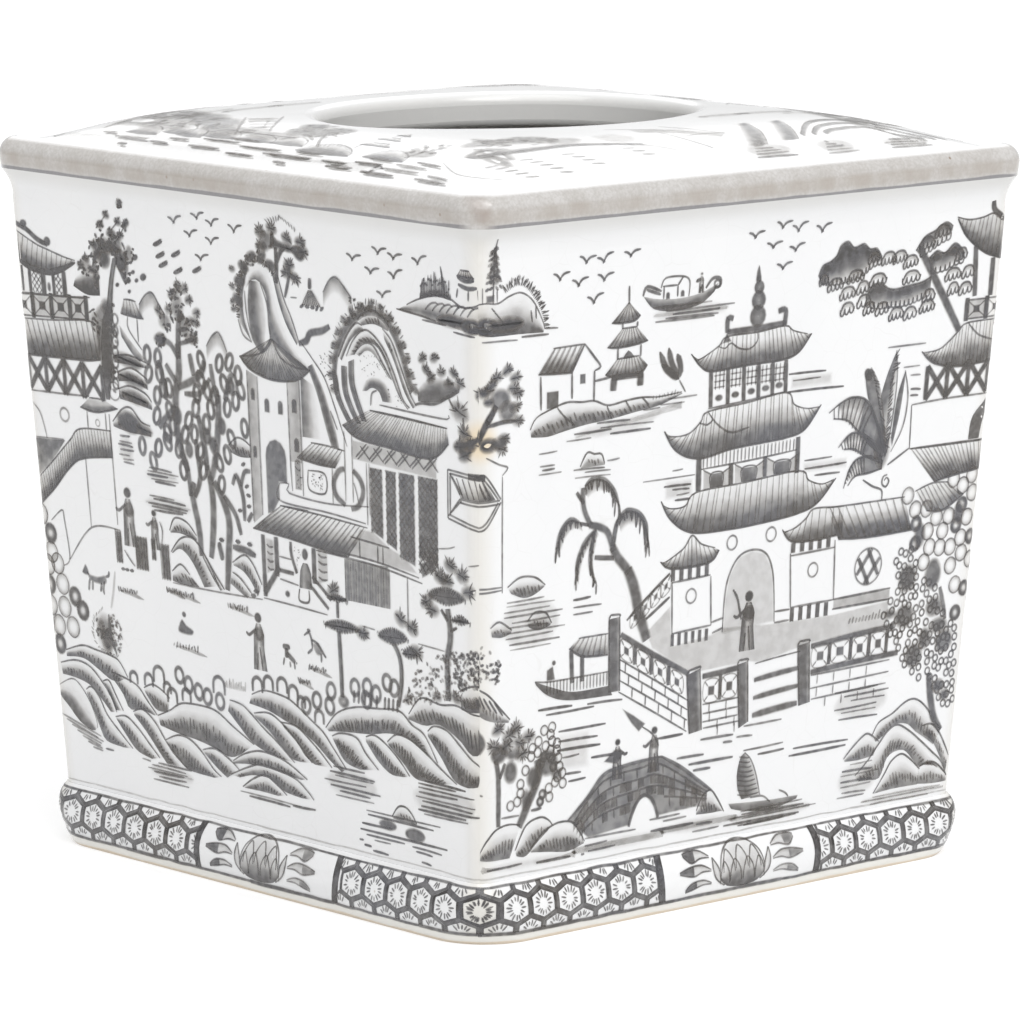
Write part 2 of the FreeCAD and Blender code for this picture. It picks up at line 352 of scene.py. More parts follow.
def turnPage():  # small pages keep the operators quick
    paper["bm"] = bmesh.new()
    paper["ink"] = paper["bm"].verts.layers.float.new("ink")
    paper["side"] = paper["bm"].verts.layers.float.new("side")
    paper["pages"].append(paper["bm"])


def freshPaper():
    paper["pages"] = []
    paper["strokes"] = 0
    turnPage()


def nextLift():
    if len(paper["bm"].verts) > brush["pageVerts"]:
        turnPage()
    paper["strokes"] += 1
    return brush["lift"] + brush["liftStep"] * (paper["strokes"] % brush["liftTurns"])


# a patch of rows of spots, with the ink of each row and its place across the stroke
def lay(rows, inks, edges):
    lift = nextLift()
    across = len(rows[0])
    grid = bmesh.ops.create_grid(paper["bm"], x_segments=across - 1, y_segments=len(rows) - 1)["verts"]
    for number, vert in enumerate(grid):
        row, column = divmod(number, across)
        spot = rows[row][column]
        vert.co = (spot[0], spot[1], lift)
        vert[paper["ink"]] = inks[row]
        vert[paper["side"]] = edges[row]


def curve(points, closed=False):  # a smooth path through the points
    knots = [Vector(point) for point in points]
    knots = [knots[-1]] + knots + knots[:2] if closed else [knots[0]] + knots + [knots[-1]]
    path = []
    for before, a, b, after in zip(knots, knots[1:], knots[2:], knots[3:]):
        count = 3 + min(brush["mostSteps"], int((b - a).length / brush["step"]))
        path += interpolate_bezier(a, a + (b - before) / 6, b - (after - a) / 6, b, count)[:-1]
    return path + [knots[-2]]


def even(path, count):  # the same path in equal steps
    reach = [0.0]
    for a, b in zip(path, path[1:]):
        reach.append(reach[-1] + (b - a).length)
    spots = []
    leg = 0
    for number in range(count):
        want = reach[-1] * number / (count - 1)
        while leg < len(path) - 2 and reach[leg + 1] < want:
            leg += 1
        span = max(reach[leg + 1] - reach[leg], 1e-6)
        spots.append(path[leg].lerp(path[leg + 1], (want - reach[leg]) / span))
    return spots


def pathLength(path):
    return sum((b - a).length for a, b in zip(path, path[1:]))


def line(points, width=0.5, ink=0.7, ends=0.6, closed=False):
    path = curve(points, closed)
    last = len(path) - 1
    right, left = [], []
    for number, spot in enumerate(path):
        if closed:
            ahead = path[(number + 1) % last] - path[(number - 1) % last]
            press = 1.0
        else:
            ahead = path[min(number + 1, last)] - path[max(number - 1, 0)]
            press = min(1.0, ends + 4 * (1 - ends) * min(number, last - number) / last)
        out = Vector((-ahead.y, ahead.x)).normalized() * width * brush["half"] * press
        right.append(spot - out)
        left.append(spot + out)
    lay([right, left], [ink, ink], [-1, 1])


def lines(paths, width=0.5, ink=0.7, ends=0.6):
    for points in paths:
        line(points, width, ink, ends)


# a wash that changes from one edge to the other
def shade(top, bottom, inks=(0.02, 0.05, 0.3, 0.65, 0.75)):
    top, bottom = curve(top), curve(bottom)
    count = 3 + int(max(pathLength(top), pathLength(bottom)) / brush["washStep"])
    top, bottom = even(top, count), even(bottom, count)
    shares = [row / (len(inks) - 1) for row in range(len(inks))]
    lay([[a.lerp(b, share) for a, b in zip(top, bottom)] for share in shares], inks, [0.0] * len(inks))


def wash(points, ink=0.5, feather=0.7, smooth=True):
    outline = curve(points, True)[:-1] if smooth else [Vector(point) for point in points]
    lift = nextLift()
    edge = bmesh.ops.create_circle(paper["bm"], cap_ends=True, segments=len(outline), radius=1.0)["verts"]
    for vert, spot in zip(edge, outline):
        vert.co = (spot.x, spot.y, lift)
        vert[paper["ink"]] = 0.0
        vert[paper["side"]] = 0.0
    face = edge[0].link_faces[0]
    face.normal_update()
    bmesh.ops.inset_individual(paper["bm"], faces=[face], thickness=feather, use_even_offset=True)
    for vert in face.verts:
        vert[paper["ink"]] = ink
        vert[paper["side"]] = 0.0


def oval(u, v, wide, tall, lean=0.0, count=14):
    turn = Matrix.Rotation(math.radians(lean), 2)
    angles = [math.tau * number / count for number in range(count)]
    return [Vector((u, v)) + turn @ Vector((wide * math.cos(a), tall * math.sin(a))) for a in angles]


def blot(u, v, wide, tall, ink, feather, lean=0.0):
    wash(oval(u, v, wide, tall, lean), ink, feather)


def blots(places, ink, feather):
    for u, v, wide, tall in places:
        blot(u, v, wide, tall, ink, feather)


def inkBlots(places, feather, lean=0.0):  # each with an ink of its own
    for u, v, wide, tall, ink in places:
        blot(u, v, wide, tall, ink, feather, lean)


def boughs(paths, ink, ends):  # lines with a width of their own
    for path, width in paths:
        line(path, width, ink, ends)


def ring(u, v, wide, tall=None, width=0.8, ink=0.55, lean=0.0):
    line(oval(u, v, wide, tall or wide, lean, 8), width, ink, closed=True)


def disc(u, v, wide, tall=None, inks=(0.05, 0.2, 0.7, 0.75, 0.0)):  # inked from the middle outwards
    rows = []
    for row in range(len(inks)):
        share = 0.04 + 0.96 * row / (len(inks) - 1)
        spots = oval(u, v, wide * share, (tall or wide) * share)
        rows.append(spots + spots[:1])
    lay(rows, inks, [0.0] * len(inks))


def dab(u, v, long, angle, width=0.7, ink=0.7):
    reach = Vector((math.cos(math.radians(angle)), math.sin(math.radians(angle)))) * long / 2
    middle = Vector((u, v))
    line([middle - reach, middle + reach], width, ink, ends=0.25)


def hatch(points, angle, gap=1.0, width=0.4, ink=0.55):  # strokes across an outline
    turn = Matrix.Rotation(math.radians(angle), 2)
    corners = [turn.inverted() @ Vector(point) for point in points]
    level = min(corner.y for corner in corners) + gap / 2
    while level < max(corner.y for corner in corners):
        cuts = []
        for a, b in zip(corners, corners[1:] + corners[:1]):
            if (a.y > level) != (b.y > level):
                cuts.append(a.x + (b.x - a.x) * (level - a.y) / (b.y - a.y))
        cuts.sort()
        for start, end in zip(cuts[::2], cuts[1::2]):
            slip = hand.uniform(-0.12, 0.12) * gap
            line([turn @ Vector((start, level)), turn @ Vector((end, level + slip))], width, ink)
        level += gap


def scatter(points, count, draw):  # draw at random places inside an outline
    corners = [Vector(point) for point in points]
    done = 0
    while done < count:
        u = hand.uniform(min(c.x for c in corners), max(c.x for c in corners))
        v = hand.uniform(min(c.y for c in corners), max(c.y for c in corners))
        inside = False
        for a, b in zip(corners, corners[1:] + corners[:1]):
            if (a.y > v) != (b.y > v) and u < a.x + (b.x - a.x) * (v - a.y) / (b.y - a.y):
                inside = not inside
        if inside:
            draw(u, v)
            done += 1


# what the painter repeats

def birds(places):
    for u, v in places:
        left, right = hand.uniform(0.7, 1.2), hand.uniform(0.7, 1.3)
        line([(u - 1.8, v + left), (u - 0.9, v + left * 0.8), (u, v)], 0.6, 0.6, 0.5)
        line([(u, v), (u + 1.0, v + right), (u + 2.6, v + right * 1.3)], 0.6, 0.6, 0.4)
        dab(u, v - 0.1, 0.9, 60, 0.7, 0.7)


def lobe(top, bottom, dark=0.72, outline=0.6):  # a fold of rock, pale above and brushed dark below
    shade(top, bottom, (0.03, 0.03, dark * 0.2, dark * 0.58, dark * 0.82, dark * 0.86))
    upper, lower = curve(top), curve(bottom)
    count = 3 + int(pathLength(upper) / brush["foldStep"])
    for a, b in list(zip(even(upper, count), even(lower, count)))[1:-1]:
        if (a - b).length < 2.4:  # too narrow for a brush
            continue
        start = hand.uniform(0.4, 0.6)
        line([a.lerp(b, start), a.lerp(b, hand.uniform(start + 0.2, 0.95)) + Vector((0.5, 0))], 0.5,
             dark * 0.62, 0.3)
    line(top, 0.5, outline)


def peak(points):
    shade(points, [(u, v - 3.2) for u, v in points], (0.4, 0.28, 0.14, 0.0))
    line(points, 0.45, 0.5)


def roof(top, eave, count, dark=0.68, light=0.1, width=0.45, lean=0.0, ink=0.5):
    shade(top, eave, (light * 0.3, light * 0.6, dark * 0.36, dark * 0.8, min(1.0, dark * 1.08)))
    steps = 60
    tiles = int(count * 0.75)
    upper, lower = even(curve(top), steps), even(curve(eave), steps)
    for number in range(tiles):
        share = (number + 0.5) / tiles
        foot = min(max(share + lean, 0.0), 1.0)
        line([upper[int(share * (steps - 1))], lower[int(foot * (steps - 1))]], width * 0.8, ink * 0.6)
    line(top, 0.45, 0.56)
    line(eave, 0.55, 0.66)


def waterLines(rows, width=0.4, ink=0.55):  # rows of start, end and height
    for start, end, v in rows:
        drop, press = hand.uniform(-0.25, 0.25), hand.uniform(0.75, 1.2)
        line([(start, v), ((start + end) / 2, v + 0.2 * drop), (end, v + drop)], width * press * 1.3,
             ink * press, 0.6)


def wander(start, end, v, width, ink):  # a long line drawn round the cover by hand, thick and thin
    spots = []
    u = start
    while u < end - 2:
        spots.append((u, v + hand.uniform(-0.12, 0.12)))
        u += hand.uniform(3, 6)
    spots.append((end, v))
    for a in range(0, len(spots) - 1, 3):
        line(spots[a:a + 4], width * hand.uniform(0.8, 1.25), ink * hand.uniform(0.85, 1.1), 0.9)


def rippled(left, right, low, high, count, ink=0.5):  # a patch of ripples over a thin wash
    middle, half = (left + right) / 2, (right - left) / 2
    wash(oval(middle, (low + high) / 2, half, (high - low) / 2 + 0.5), 0.1, min(1.2, (high - low) / 3))
    rows = []
    for number in range(count):
        share = number / max(1, count - 1)
        reach = half * (0.55 + 0.45 * math.sin(math.pi * (0.2 + 0.6 * share))) * hand.uniform(0.6, 1.0)
        shift = hand.uniform(-0.25, 0.25) * half
        rows.append((middle + shift - reach, middle + shift + reach,
                low + (high - low) * share + hand.uniform(-0.2, 0.2)))
    waterLines(rows, 0.42, ink)


# a fan of needles over a dark heart
def tuft(u, v, size=1.5, ink=0.75, count=7, spread=200.0, facing=90.0):
    wash(oval(u, v, size * 0.95, size * 0.7, hand.uniform(-30, 30), 8), ink * 0.9, size * 0.6)
    for number in range(count):
        angle = facing + spread * (number / (count + 1) - 0.5) + hand.uniform(-14, 14)
        reach = size * hand.uniform(0.35, 0.75)
        a = math.radians(angle)
        dab(u + reach * 0.9 * math.cos(a), v + reach * 0.9 * math.sin(a), reach, angle, 0.34, ink * 0.8)


def clump(u, v, wide, tall, ink=0.62):  # leaves dabbed over a soft wash
    def leaf(a, b):
        dab(a, b, hand.uniform(0.7, 1.5), hand.uniform(-60, 80), hand.uniform(0.5, 0.85),
            min(1.0, ink * hand.uniform(0.9, 1.4)))
    wash(oval(u, v, wide * 0.9, tall * 0.9), ink * 0.56, min(wide, tall) * 0.5)
    scatter(oval(u, v, wide * 1.08, tall * 1.08), int(3 + wide * tall * 1.8), leaf)


def tufts(places, size, ink, count, spread):
    for u, v, facing in places:
        tuft(u, v, size, ink, count, spread, facing)


def needles(points, long=1.6, ink=0.6, step=0.8, lean=0.0):  # needles standing out from a path, to its left
    path = curve(points)
    path = even(path, max(3, int(pathLength(path) / step)))
    for a, b in zip(path, path[1:]):
        ahead = b - a
        angle = math.degrees(math.atan2(ahead.y, ahead.x)) + 90 + lean + hand.uniform(-25, 25)
        reach = long * hand.uniform(0.6, 1.1)
        turn = math.radians(angle)
        dab(a.x + reach * 0.4 * math.cos(turn), a.y + reach * 0.4 * math.sin(turn), reach, angle, 0.36, ink)


def grass(u, v, wide, count=8, ink=0.55):
    for number in range(count):
        spot = u + wide * (number + 0.5) / count - wide / 2
        dab(spot, v + 0.3, hand.uniform(0.7, 1.8), hand.uniform(50, 130), 0.6, ink * hand.uniform(0.5, 1.1))
    line([(u - wide * 0.4, v), (u + wide * 0.1, v - 0.2), (u + wide * 0.8, v - 0.9)], 0.9, ink * 0.5, 0.1)


def stones(points, size, count, ink=0.5):  # mottled ground or leaves
    def spot(u, v):
        dab(u, v, size * hand.uniform(0.6, 1.5), hand.uniform(-60, 60), size * 0.7,
            ink * hand.uniform(0.5, 1.2))
    scatter(points, count, spot)


def bubbles(places, size, dark):
    for u, v in places:
        if dark:
            disc(u, v, size, inks=(0.06, 0.12, 0.4, 0.68, 0.7, 0.0))
        else:
            disc(u, v, size, inks=(0.0, 0.0, 0.02, 0.1, 0.22, 0.0))
            ring(u, v, size * 0.93, width=0.4, ink=0.42)


def trunk(left, right, ink=0.6):
    shade(left, right, (ink, ink * 0.75, ink * 0.7, ink))
    line(left, 0.4, ink * 0.7)
    line(right, 0.4, ink * 0.7)


def crossFence(posts, low, high):  # crossed bars between posts
    width, ink = 1.4, 0.74
    for a, b in zip(posts, posts[1:]):
        lines([[(a, high), (b, low)], [(a, low), (b, high)]], width, ink, 0.9)
    for post in posts:
        line([(post, low), (post, high)], width, ink, 0.9)


def boxFence(posts, low, high, slope=0.0, ink=0.66):  # panels of nested squares between posts
    def height(u, v):
        return v + slope * (u - posts[0])
    for a, b in zip(posts, posts[1:]):
        middle, level = (a + b) / 2, height((a + b) / 2, (low + high) / 2)
        corners = [(a, height(a, low)), (b, height(b, low)), (b, height(b, high)), (a, height(a, high))]
        wash(corners, 0.2, 0.2, False)
        for u, v in corners:
            line([(u, v), (middle, level)], 0.35, ink * 0.6)
        small = (high - low) * 0.22
        wash([(middle - small * 1.2, level - small), (middle + small * 1.2, level - small),
              (middle + small * 1.2, level + small), (middle - small * 1.2, level + small)],
             min(1.0, ink * 1.25), 0.4, False)
        lines([corners[:2], corners[2:]], 0.45, ink * 0.8)
    for post in posts:
        line([(post, height(post, low) - 0.4), (post, height(post, high) + 0.5)], 1.5, min(1.0, ink * 1.2),
             0.9)


def lattice(left, right, low, high, gap=1.0, width=0.35, ink=0.5):
    corners = [(left, low), (right, low), (right, high), (left, high)]
    hatch(corners, 45, gap, width, ink)
    hatch(corners, -45, gap, width, ink)


def archedWindow(u, v, wide, tall, ink=0.6):
    half = wide / 2
    arc = [math.pi * number / 8 for number in range(9)]
    arch = [(u + half * math.cos(a), v + tall - half + half * math.sin(a)) for a in arc]
    wash([(u - half, v), (u + half, v)] + arch, ink, 0.28, False)


def person(u, v, tall, way=1, ink=0.62):  # a robed figure standing with one arm held out
    wide = tall * 0.15
    shade([(u - wide * 1.2, v), (u - wide, v + tall * 0.42), (u - wide * 0.9, v + tall * 0.62),
           (u - wide * 0.4, v + tall * 0.8)],
          [(u + wide * 1.3, v), (u + wide * 0.9, v + tall * 0.4), (u + wide, v + tall * 0.62),
           (u + wide * 0.4, v + tall * 0.8)], (ink, ink * 0.7, ink * 0.2, ink * 0.6, ink))
    wash(oval(u, v + tall * 0.9, wide * 0.72, tall * 0.1, 0, 8), min(1.0, ink * 1.3), 0.4)
    blot(u + wide * 0.1, v + tall * 0.62, wide * 0.9, tall * 0.14, ink * 0.7, 0.5)
    line([(u + way * wide * 0.5, v + tall * 0.7), (u + way * wide * 1.7, v + tall * 0.58),
          (u + way * wide * 2.3, v + tall * 0.62)], 0.8, ink)
    lines([[(u + wide * 0.5, v), (u + wide * 0.1, v + tall * 0.4)],
           [(u - wide * 0.5, v), (u - wide * 0.3, v + tall * 0.3)]], 0.5, ink)


# the painting on the left and right sides, worked from the top left down

def paintTerraceSky():
    # pavilion at the left edge
    roof([(-70, 128.5), (-64, 126.3), (-60, 125.4), (-55, 124.4), (-51, 123.9)],
         [(-70, 122), (-66, 120.6), (-60, 120.2), (-55.5, 121.3), (-51, 123.4)], 16, 0.95, 0.2, lean=-0.08)
    line([(-70, 122.4), (-66, 121), (-60, 120.7), (-55.5, 121.8), (-51.6, 123.4)], 1.2, 0.8, 0.4)
    line([(-70, 130), (-66.5, 129), (-63, 127.2), (-59.8, 126.4)], 1.3, 0.78, 0.9)
    blot(-67.3, 130.2, 1.2, 0.9, 0.72, 0.4)
    blot(-59.8, 127.1, 1.2, 1.1, 0.72, 0.4)
    for u, width in ((-69.3, 0.8), (-66.7, 1.0), (-62.2, 1.5), (-58.8, 1.0), (-55.2, 1.3)):
        line([(u, 121.3), (u, 116)], width * 1.2, 0.84, 0.9)
    lattice(-66, -63, 116, 121)
    lattice(-58.2, -56, 116.3, 120.5)
    blot(-60.4, 117.6, 0.7, 1.1, 0.7, 0.4)
    line([(-70, 115.6), (-55, 116.1), (-47, 116.7)], 0.5, 0.6)
    boxFence([-73, -66.5, -60.2, -54, -48.5], 110.7, 115.2, 0.05, 0.8)
    roof([(-70, 110.2), (-60, 110.8), (-48, 111.8), (-44.5, 110.2)],
         [(-70, 102.6), (-60, 103), (-50, 103.4), (-45, 104)], 19, 0.84, 0.14, 0.6, 0.09, 0.6)
    crossFence([-70, -64, -57.8, -51.5, -45], 95.6, 102.8)
    line([(-70, 95.2), (-58, 95.6), (-50, 96)], 0.5, 0.5)
    # tree with clumped leaves beside it
    trunk([(-38.4, 125.6), (-40, 121), (-41.4, 116), (-43.6, 111), (-44.6, 104), (-44, 96)],
          [(-37, 126), (-38.8, 121), (-39.8, 116), (-40.6, 110), (-41.4, 104), (-43, 96)], 0.72)
    stones([(-41.2, 117), (-39.4, 116), (-39, 110), (-41, 98), (-44.4, 98), (-44.8, 106)], 1.2, 46, 0.66)
    for v in (113, 110.6, 108.4, 106.2, 104, 101.8, 99.6):
        ring(-39.2 - (113 - v) * 0.1, v, 0.9, 1.1, 0.6, 0.5)
    clump(-46, 112, 2.2, 2.6, 0.55)
    line([(-37.6, 126), (-36, 123), (-34.6, 120.6)], 1.4, 0.8)
    shade([(-51.4, 120.4), (-47, 122.8), (-43.4, 122.6)], [(-52.2, 118.6), (-48, 117.2), (-43.6, 117.4)],
          (0.0, 0.2, 0.6, 0.95, 1.0))
    blots(((-42.6, 113.4, 3.2, 2.6), (-41.6, 115.4, 2.4, 2.0), (-43.4, 108.4, 3.0, 4.2),
           (-43, 102.6, 2.6, 3.6)), 0.5, 1.2)
    blots(((-39, 127.4, 4.0, 1.6), (-41.4, 125.4, 2.4, 2.6), (-36, 125.4, 2.2, 2.6)), 0.8, 1.4)
    for u, v, wide, tall, ink in ((-40.4, 128, 3.2, 2.2, 0.8), (-37, 128.6, 2.6, 2.4, 0.86),
            (-43.6, 126.6, 2.2, 3.2, 0.72), (-34.6, 124.8, 1.5, 3.4, 0.76), (-44.4, 121.6, 1.4, 3.4, 0.72),
            (-47.6, 123.4, 2.4, 2.2, 0.62), (-33.8, 132.6, 0.9, 1.2, 0.8), (-41.4, 132.2, 1.2, 1.2, 0.8),
            (-37.8, 130.6, 1.4, 1.2, 0.8), (-33, 127, 1.6, 2.2, 0.7), (-34.8, 136.8, 0.7, 1.0, 0.8)):
        clump(u, v, wide, tall, ink)
    for u, v, size in ((-31.2, 126.4, 1.5), (-32.2, 123.3, 1.1), (-29, 122.6, 1.7), (-31.2, 121.7, 1.1),
            (-33.8, 121.4, 1.3), (-37.6, 120.2, 1.1), (-33.8, 119.2, 1.0)):
        wash(oval(u, v, size * 0.7, size * 0.5, 20, 8), 0.78, 0.3)
    for u, v in ((-34.8, 137.2), (-39.7, 134.3), (-42, 132.2), (-36, 133.2), (-33.4, 133.1), (-38.9, 130.8),
            (-35.5, 130.4), (-44.5, 127.8), (-41.7, 128.6), (-47.3, 124.7), (-49.2, 123.2), (-45.8, 122.6),
            (-43.5, 126)):
        tuft(u, v, 1.5, 0.84, 6, 160, hand.uniform(90, 190))
    lines([[(-39.7, 134.3), (-42, 132.2)], [(-33.4, 133.1), (-36, 130), (-38.5, 128)],
           [(-36, 133.2), (-38.9, 130.8)]], 0.4, 0.5)
    # small huts, a far peak and folds of rock
    roof([(-36, 117.4), (-34, 117.5), (-32, 117.3)], [(-37.2, 114.4), (-33, 114.1), (-29.8, 114)], 7, 0.6,
         0.15)
    lines([[(-35, 114), (-35, 111.4), (-31, 107.5)], [(-32, 113.9), (-32, 109)]], 0.5, 0.45)
    peak([(-31, 116.8), (-28.8, 119), (-26.5, 119.7), (-24.6, 117.6), (-22.8, 115.6)])
    shade([(-38, 112), (-34, 108.5), (-30.3, 105.8)], [(-37.5, 109.6), (-34.5, 106.5), (-32, 105)],
          (0.15, 0.4, 0.62))
    lobe([(-41, 105), (-36, 106), (-30, 105)], [(-40.5, 104), (-35, 104), (-30, 103.8)])
    lobe([(-40, 102), (-35, 103.4), (-30, 101.6)], [(-39.5, 100.2), (-35, 100.6), (-30, 99.4)])
    lobe([(-40, 98.6), (-36, 99.6), (-31, 98.6), (-29, 97)], [(-39.5, 96.6), (-35, 96.2), (-29, 95.4)])
    lobe([(-42.6, 91.6), (-39, 94.6), (-36, 95), (-33, 92.6), (-30, 92)],
         [(-42.4, 90.6), (-38, 90), (-30, 89.8)], 0.76)
    ring(-41.3, 98, 1.9, 1.9, 0.45, 0.4)
    inkBlots(((-36, 104.8, 5, 1.8, 0.56), (-35, 101, 5, 1.8, 0.5), (-34.6, 97.4, 5, 1.8, 0.46),
              (-37, 92, 4.4, 2.6, 0.6), (-32, 91, 3, 1.6, 0.5)), 1.2, -10)
    rippled(-41.5, -36, 83.4, 88.8, 7)
    blot(-24.7, 110.4, 2.4, 1.5, 0.6, 0.9)
    # birds and drifting leaves
    birds(((-18, 134.8), (-10.6, 136.3), (-6.3, 135.3), (0.6, 134.6), (-13.3, 132.5), (-6.7, 131.6),
           (-10.2, 128), (36, 132.4), (43.5, 134.3), (48, 133.7), (55, 133.4), (41.3, 130.3), (48, 130),
           (44.6, 126)))
    for u, v in ((-23.6, 130), (-23, 127.6), (-22.2, 125.8), (-18, 128.3), (-17.6, 124.9), (-11.6, 125.7)):
        dab(u, v, 3.2, 22, 1.1, 0.72)
        dab(u + 0.5, v + 0.5, 2.0, 30, 0.5, 0.5)
    peak([(-10, 110.5), (-8, 112.8), (-6, 113.7), (-4.5, 112), (-3.5, 110)])
    peak([(27, 125), (29, 127.6), (31, 128.4), (33, 127), (35.4, 124.8)])


def paintTallRock():
    # hooked rock with a mossy crown, and the tree on it
    shade([(0.6, 117), (0.4, 121), (1.4, 125), (3.4, 128.4)],
          [(4.6, 112.8), (2.6, 117), (2.4, 122), (4.2, 127.4)], (0.1, 0.3, 0.55, 0.62))
    shade([(7.6, 110.8), (4.8, 114), (3.8, 120), (4.6, 125.2)],
          [(8.4, 112), (9.2, 117), (8.6, 122), (7.6, 125.2)], (0.5, 0.68, 0.5, 0.2, 0.05))
    shade([(3, 123), (4.4, 127.4), (7, 129.2), (9.6, 128.6), (11.2, 126), (12.6, 121), (15, 116),
           (18, 112.4), (21.5, 110)], [(4.6, 124.6), (6, 125.6), (8, 125), (9.6, 122.6), (10.2, 118),
            (10.4, 114.4), (14, 111.4), (18, 109.6), (21, 109)], (0.02, 0.05, 0.3, 0.58, 0.4))
    line([(7.4, 110.8), (9.2, 112), (10.4, 113.8), (10.1, 117), (9.8, 121), (8, 125)], 0.5, 0.55)
    line([(0.6, 117), (2, 114), (4.6, 112.8)], 0.5, 0.55)
    line([(7.4, 110.8), (5, 113.4), (3.4, 118), (3, 123)], 0.45, 0.5)
    shade([(13.4, 127), (15, 122.5), (17, 119), (19, 114.6)],
          [(11.6, 127.5), (13.2, 122), (15.4, 117.4), (18.4, 113.6)], (0.05, 0.3, 0.66))
    line([(13.4, 127), (15, 122.5), (17, 119), (19, 114.6)], 0.45, 0.5)
    needles([(12.6, 127.6), (9, 130), (5, 130.2), (2, 127.2), (0.4, 122), (0.2, 117)], 1.8, 0.68, 0.45)
    for u, v in ((11.4, 128.8), (8.6, 130.2), (5.4, 130), (3, 127.8), (1.6, 124.8), (0.8, 121)):
        wash(oval(u, v, 2.0, 1.4, hand.uniform(-40, 40)), 0.74, 0.9)
    stones([(12.6, 127.4), (8, 131.4), (3, 130), (0, 124), (1.4, 122), (4.4, 128), (9, 129)], 0.9, 60, 0.6)
    for u, v in ((-0.6, 127), (-0.8, 123.4), (-0.8, 120.4), (-0.6, 119)):
        tuft(u, v, 1.4, 0.6, 4, 200, 150)
    lines([[(12.9, 125.4), (13.2, 129), (13.1, 132.6)], [(13.3, 129.6), (14.4, 131.6), (16, 133)]], 1.3,
          0.78, 0.8)
    wash([(12, 136), (13.6, 134.4), (17, 133.8), (20.6, 133.4), (21.8, 131.8), (18, 131.6), (14, 132),
          (11, 132.2), (11.6, 134)], 0.86, 0.9)
    blot(20, 132, 2.2, 1.6, 0.8, 0.8, -30)
    wash([(8, 132), (8, 135), (11.4, 135.8), (13, 133.4), (10.4, 131.2)], 0.46, 1.0)
    tufts(((8.6, 135.2, 110), (12.2, 136.2, 100), (16.6, 134.6, 70), (20.6, 134.2, 40), (21.4, 132.4, -30),
           (8.6, 132.4, 200), (17, 129.4, 100), (18.6, 127, -20), (16.2, 127.8, 160)), 2.1, 0.78, 7, 180)
    lines([[(17, 129.4), (16.8, 127), (15.4, 122.8)], [(16.8, 127.6), (18.8, 126.8)]], 1.0, 0.62)
    for number in range(6):
        dab(11.2 + number * 0.8, 137.6 + number * 0.2, 1.5, 140 - number * 16, 0.4, 0.5)
        dab(15.8 + number * 0.7, 138.9 - number * 0.44, 1.2, 120 - number * 6, 0.4, 0.46)
    # domed hut and the branch below it
    shade([(20.6, 122.6), (21.4, 124.2), (23, 125.1), (24.6, 124.3), (26, 122.8)],
          [(20.4, 121.8), (23, 121.9), (26.2, 121.9)], (0.04, 0.1, 0.2, 0.36))
    for number in range(9):
        line([(22.6 + number * 0.12, 125), (20.6 + number * 0.7, 121.8)], 0.4, 0.44)
    line([(23, 125.2), (23.1, 127.4)], 1.1, 0.75, 0.7)
    for u in (20.4, 22, 23.6, 25, 26.4):
        dab(u, 121.6, 1.5, hand.uniform(0, 60), 0.8, 0.66)
    line([(17, 123), (19, 123.1)], 0.4, 0.4)
    line([(19, 114), (21.4, 114.8), (22.6, 116.4), (26, 117.2), (28.6, 118.4)], 1.7, 0.66, 0.7)
    # skirts of the rock behind the tower
    shade([(19.1, 107.5), (19.1, 95.4)], [(23.4, 106), (25, 95.4)], (0.55, 0.35, 0.1, 0.0))
    shade([(21.4, 109.6), (24, 104.6), (26.6, 97.6), (28, 94.4)],
          [(23, 110.4), (26.4, 105), (29.4, 98), (30.4, 94.4)], (0.35, 0.66, 0.62, 0.1))
    lines([[(19.4, 114.6), (23, 111.4), (26.6, 107.8), (29.6, 102), (32.8, 95)], [(28, 101.6), (30, 98)]],
          0.45, 0.5)
    stones([(25, 113), (29, 113), (29, 107), (26, 108)], 0.5, 16, 0.5)


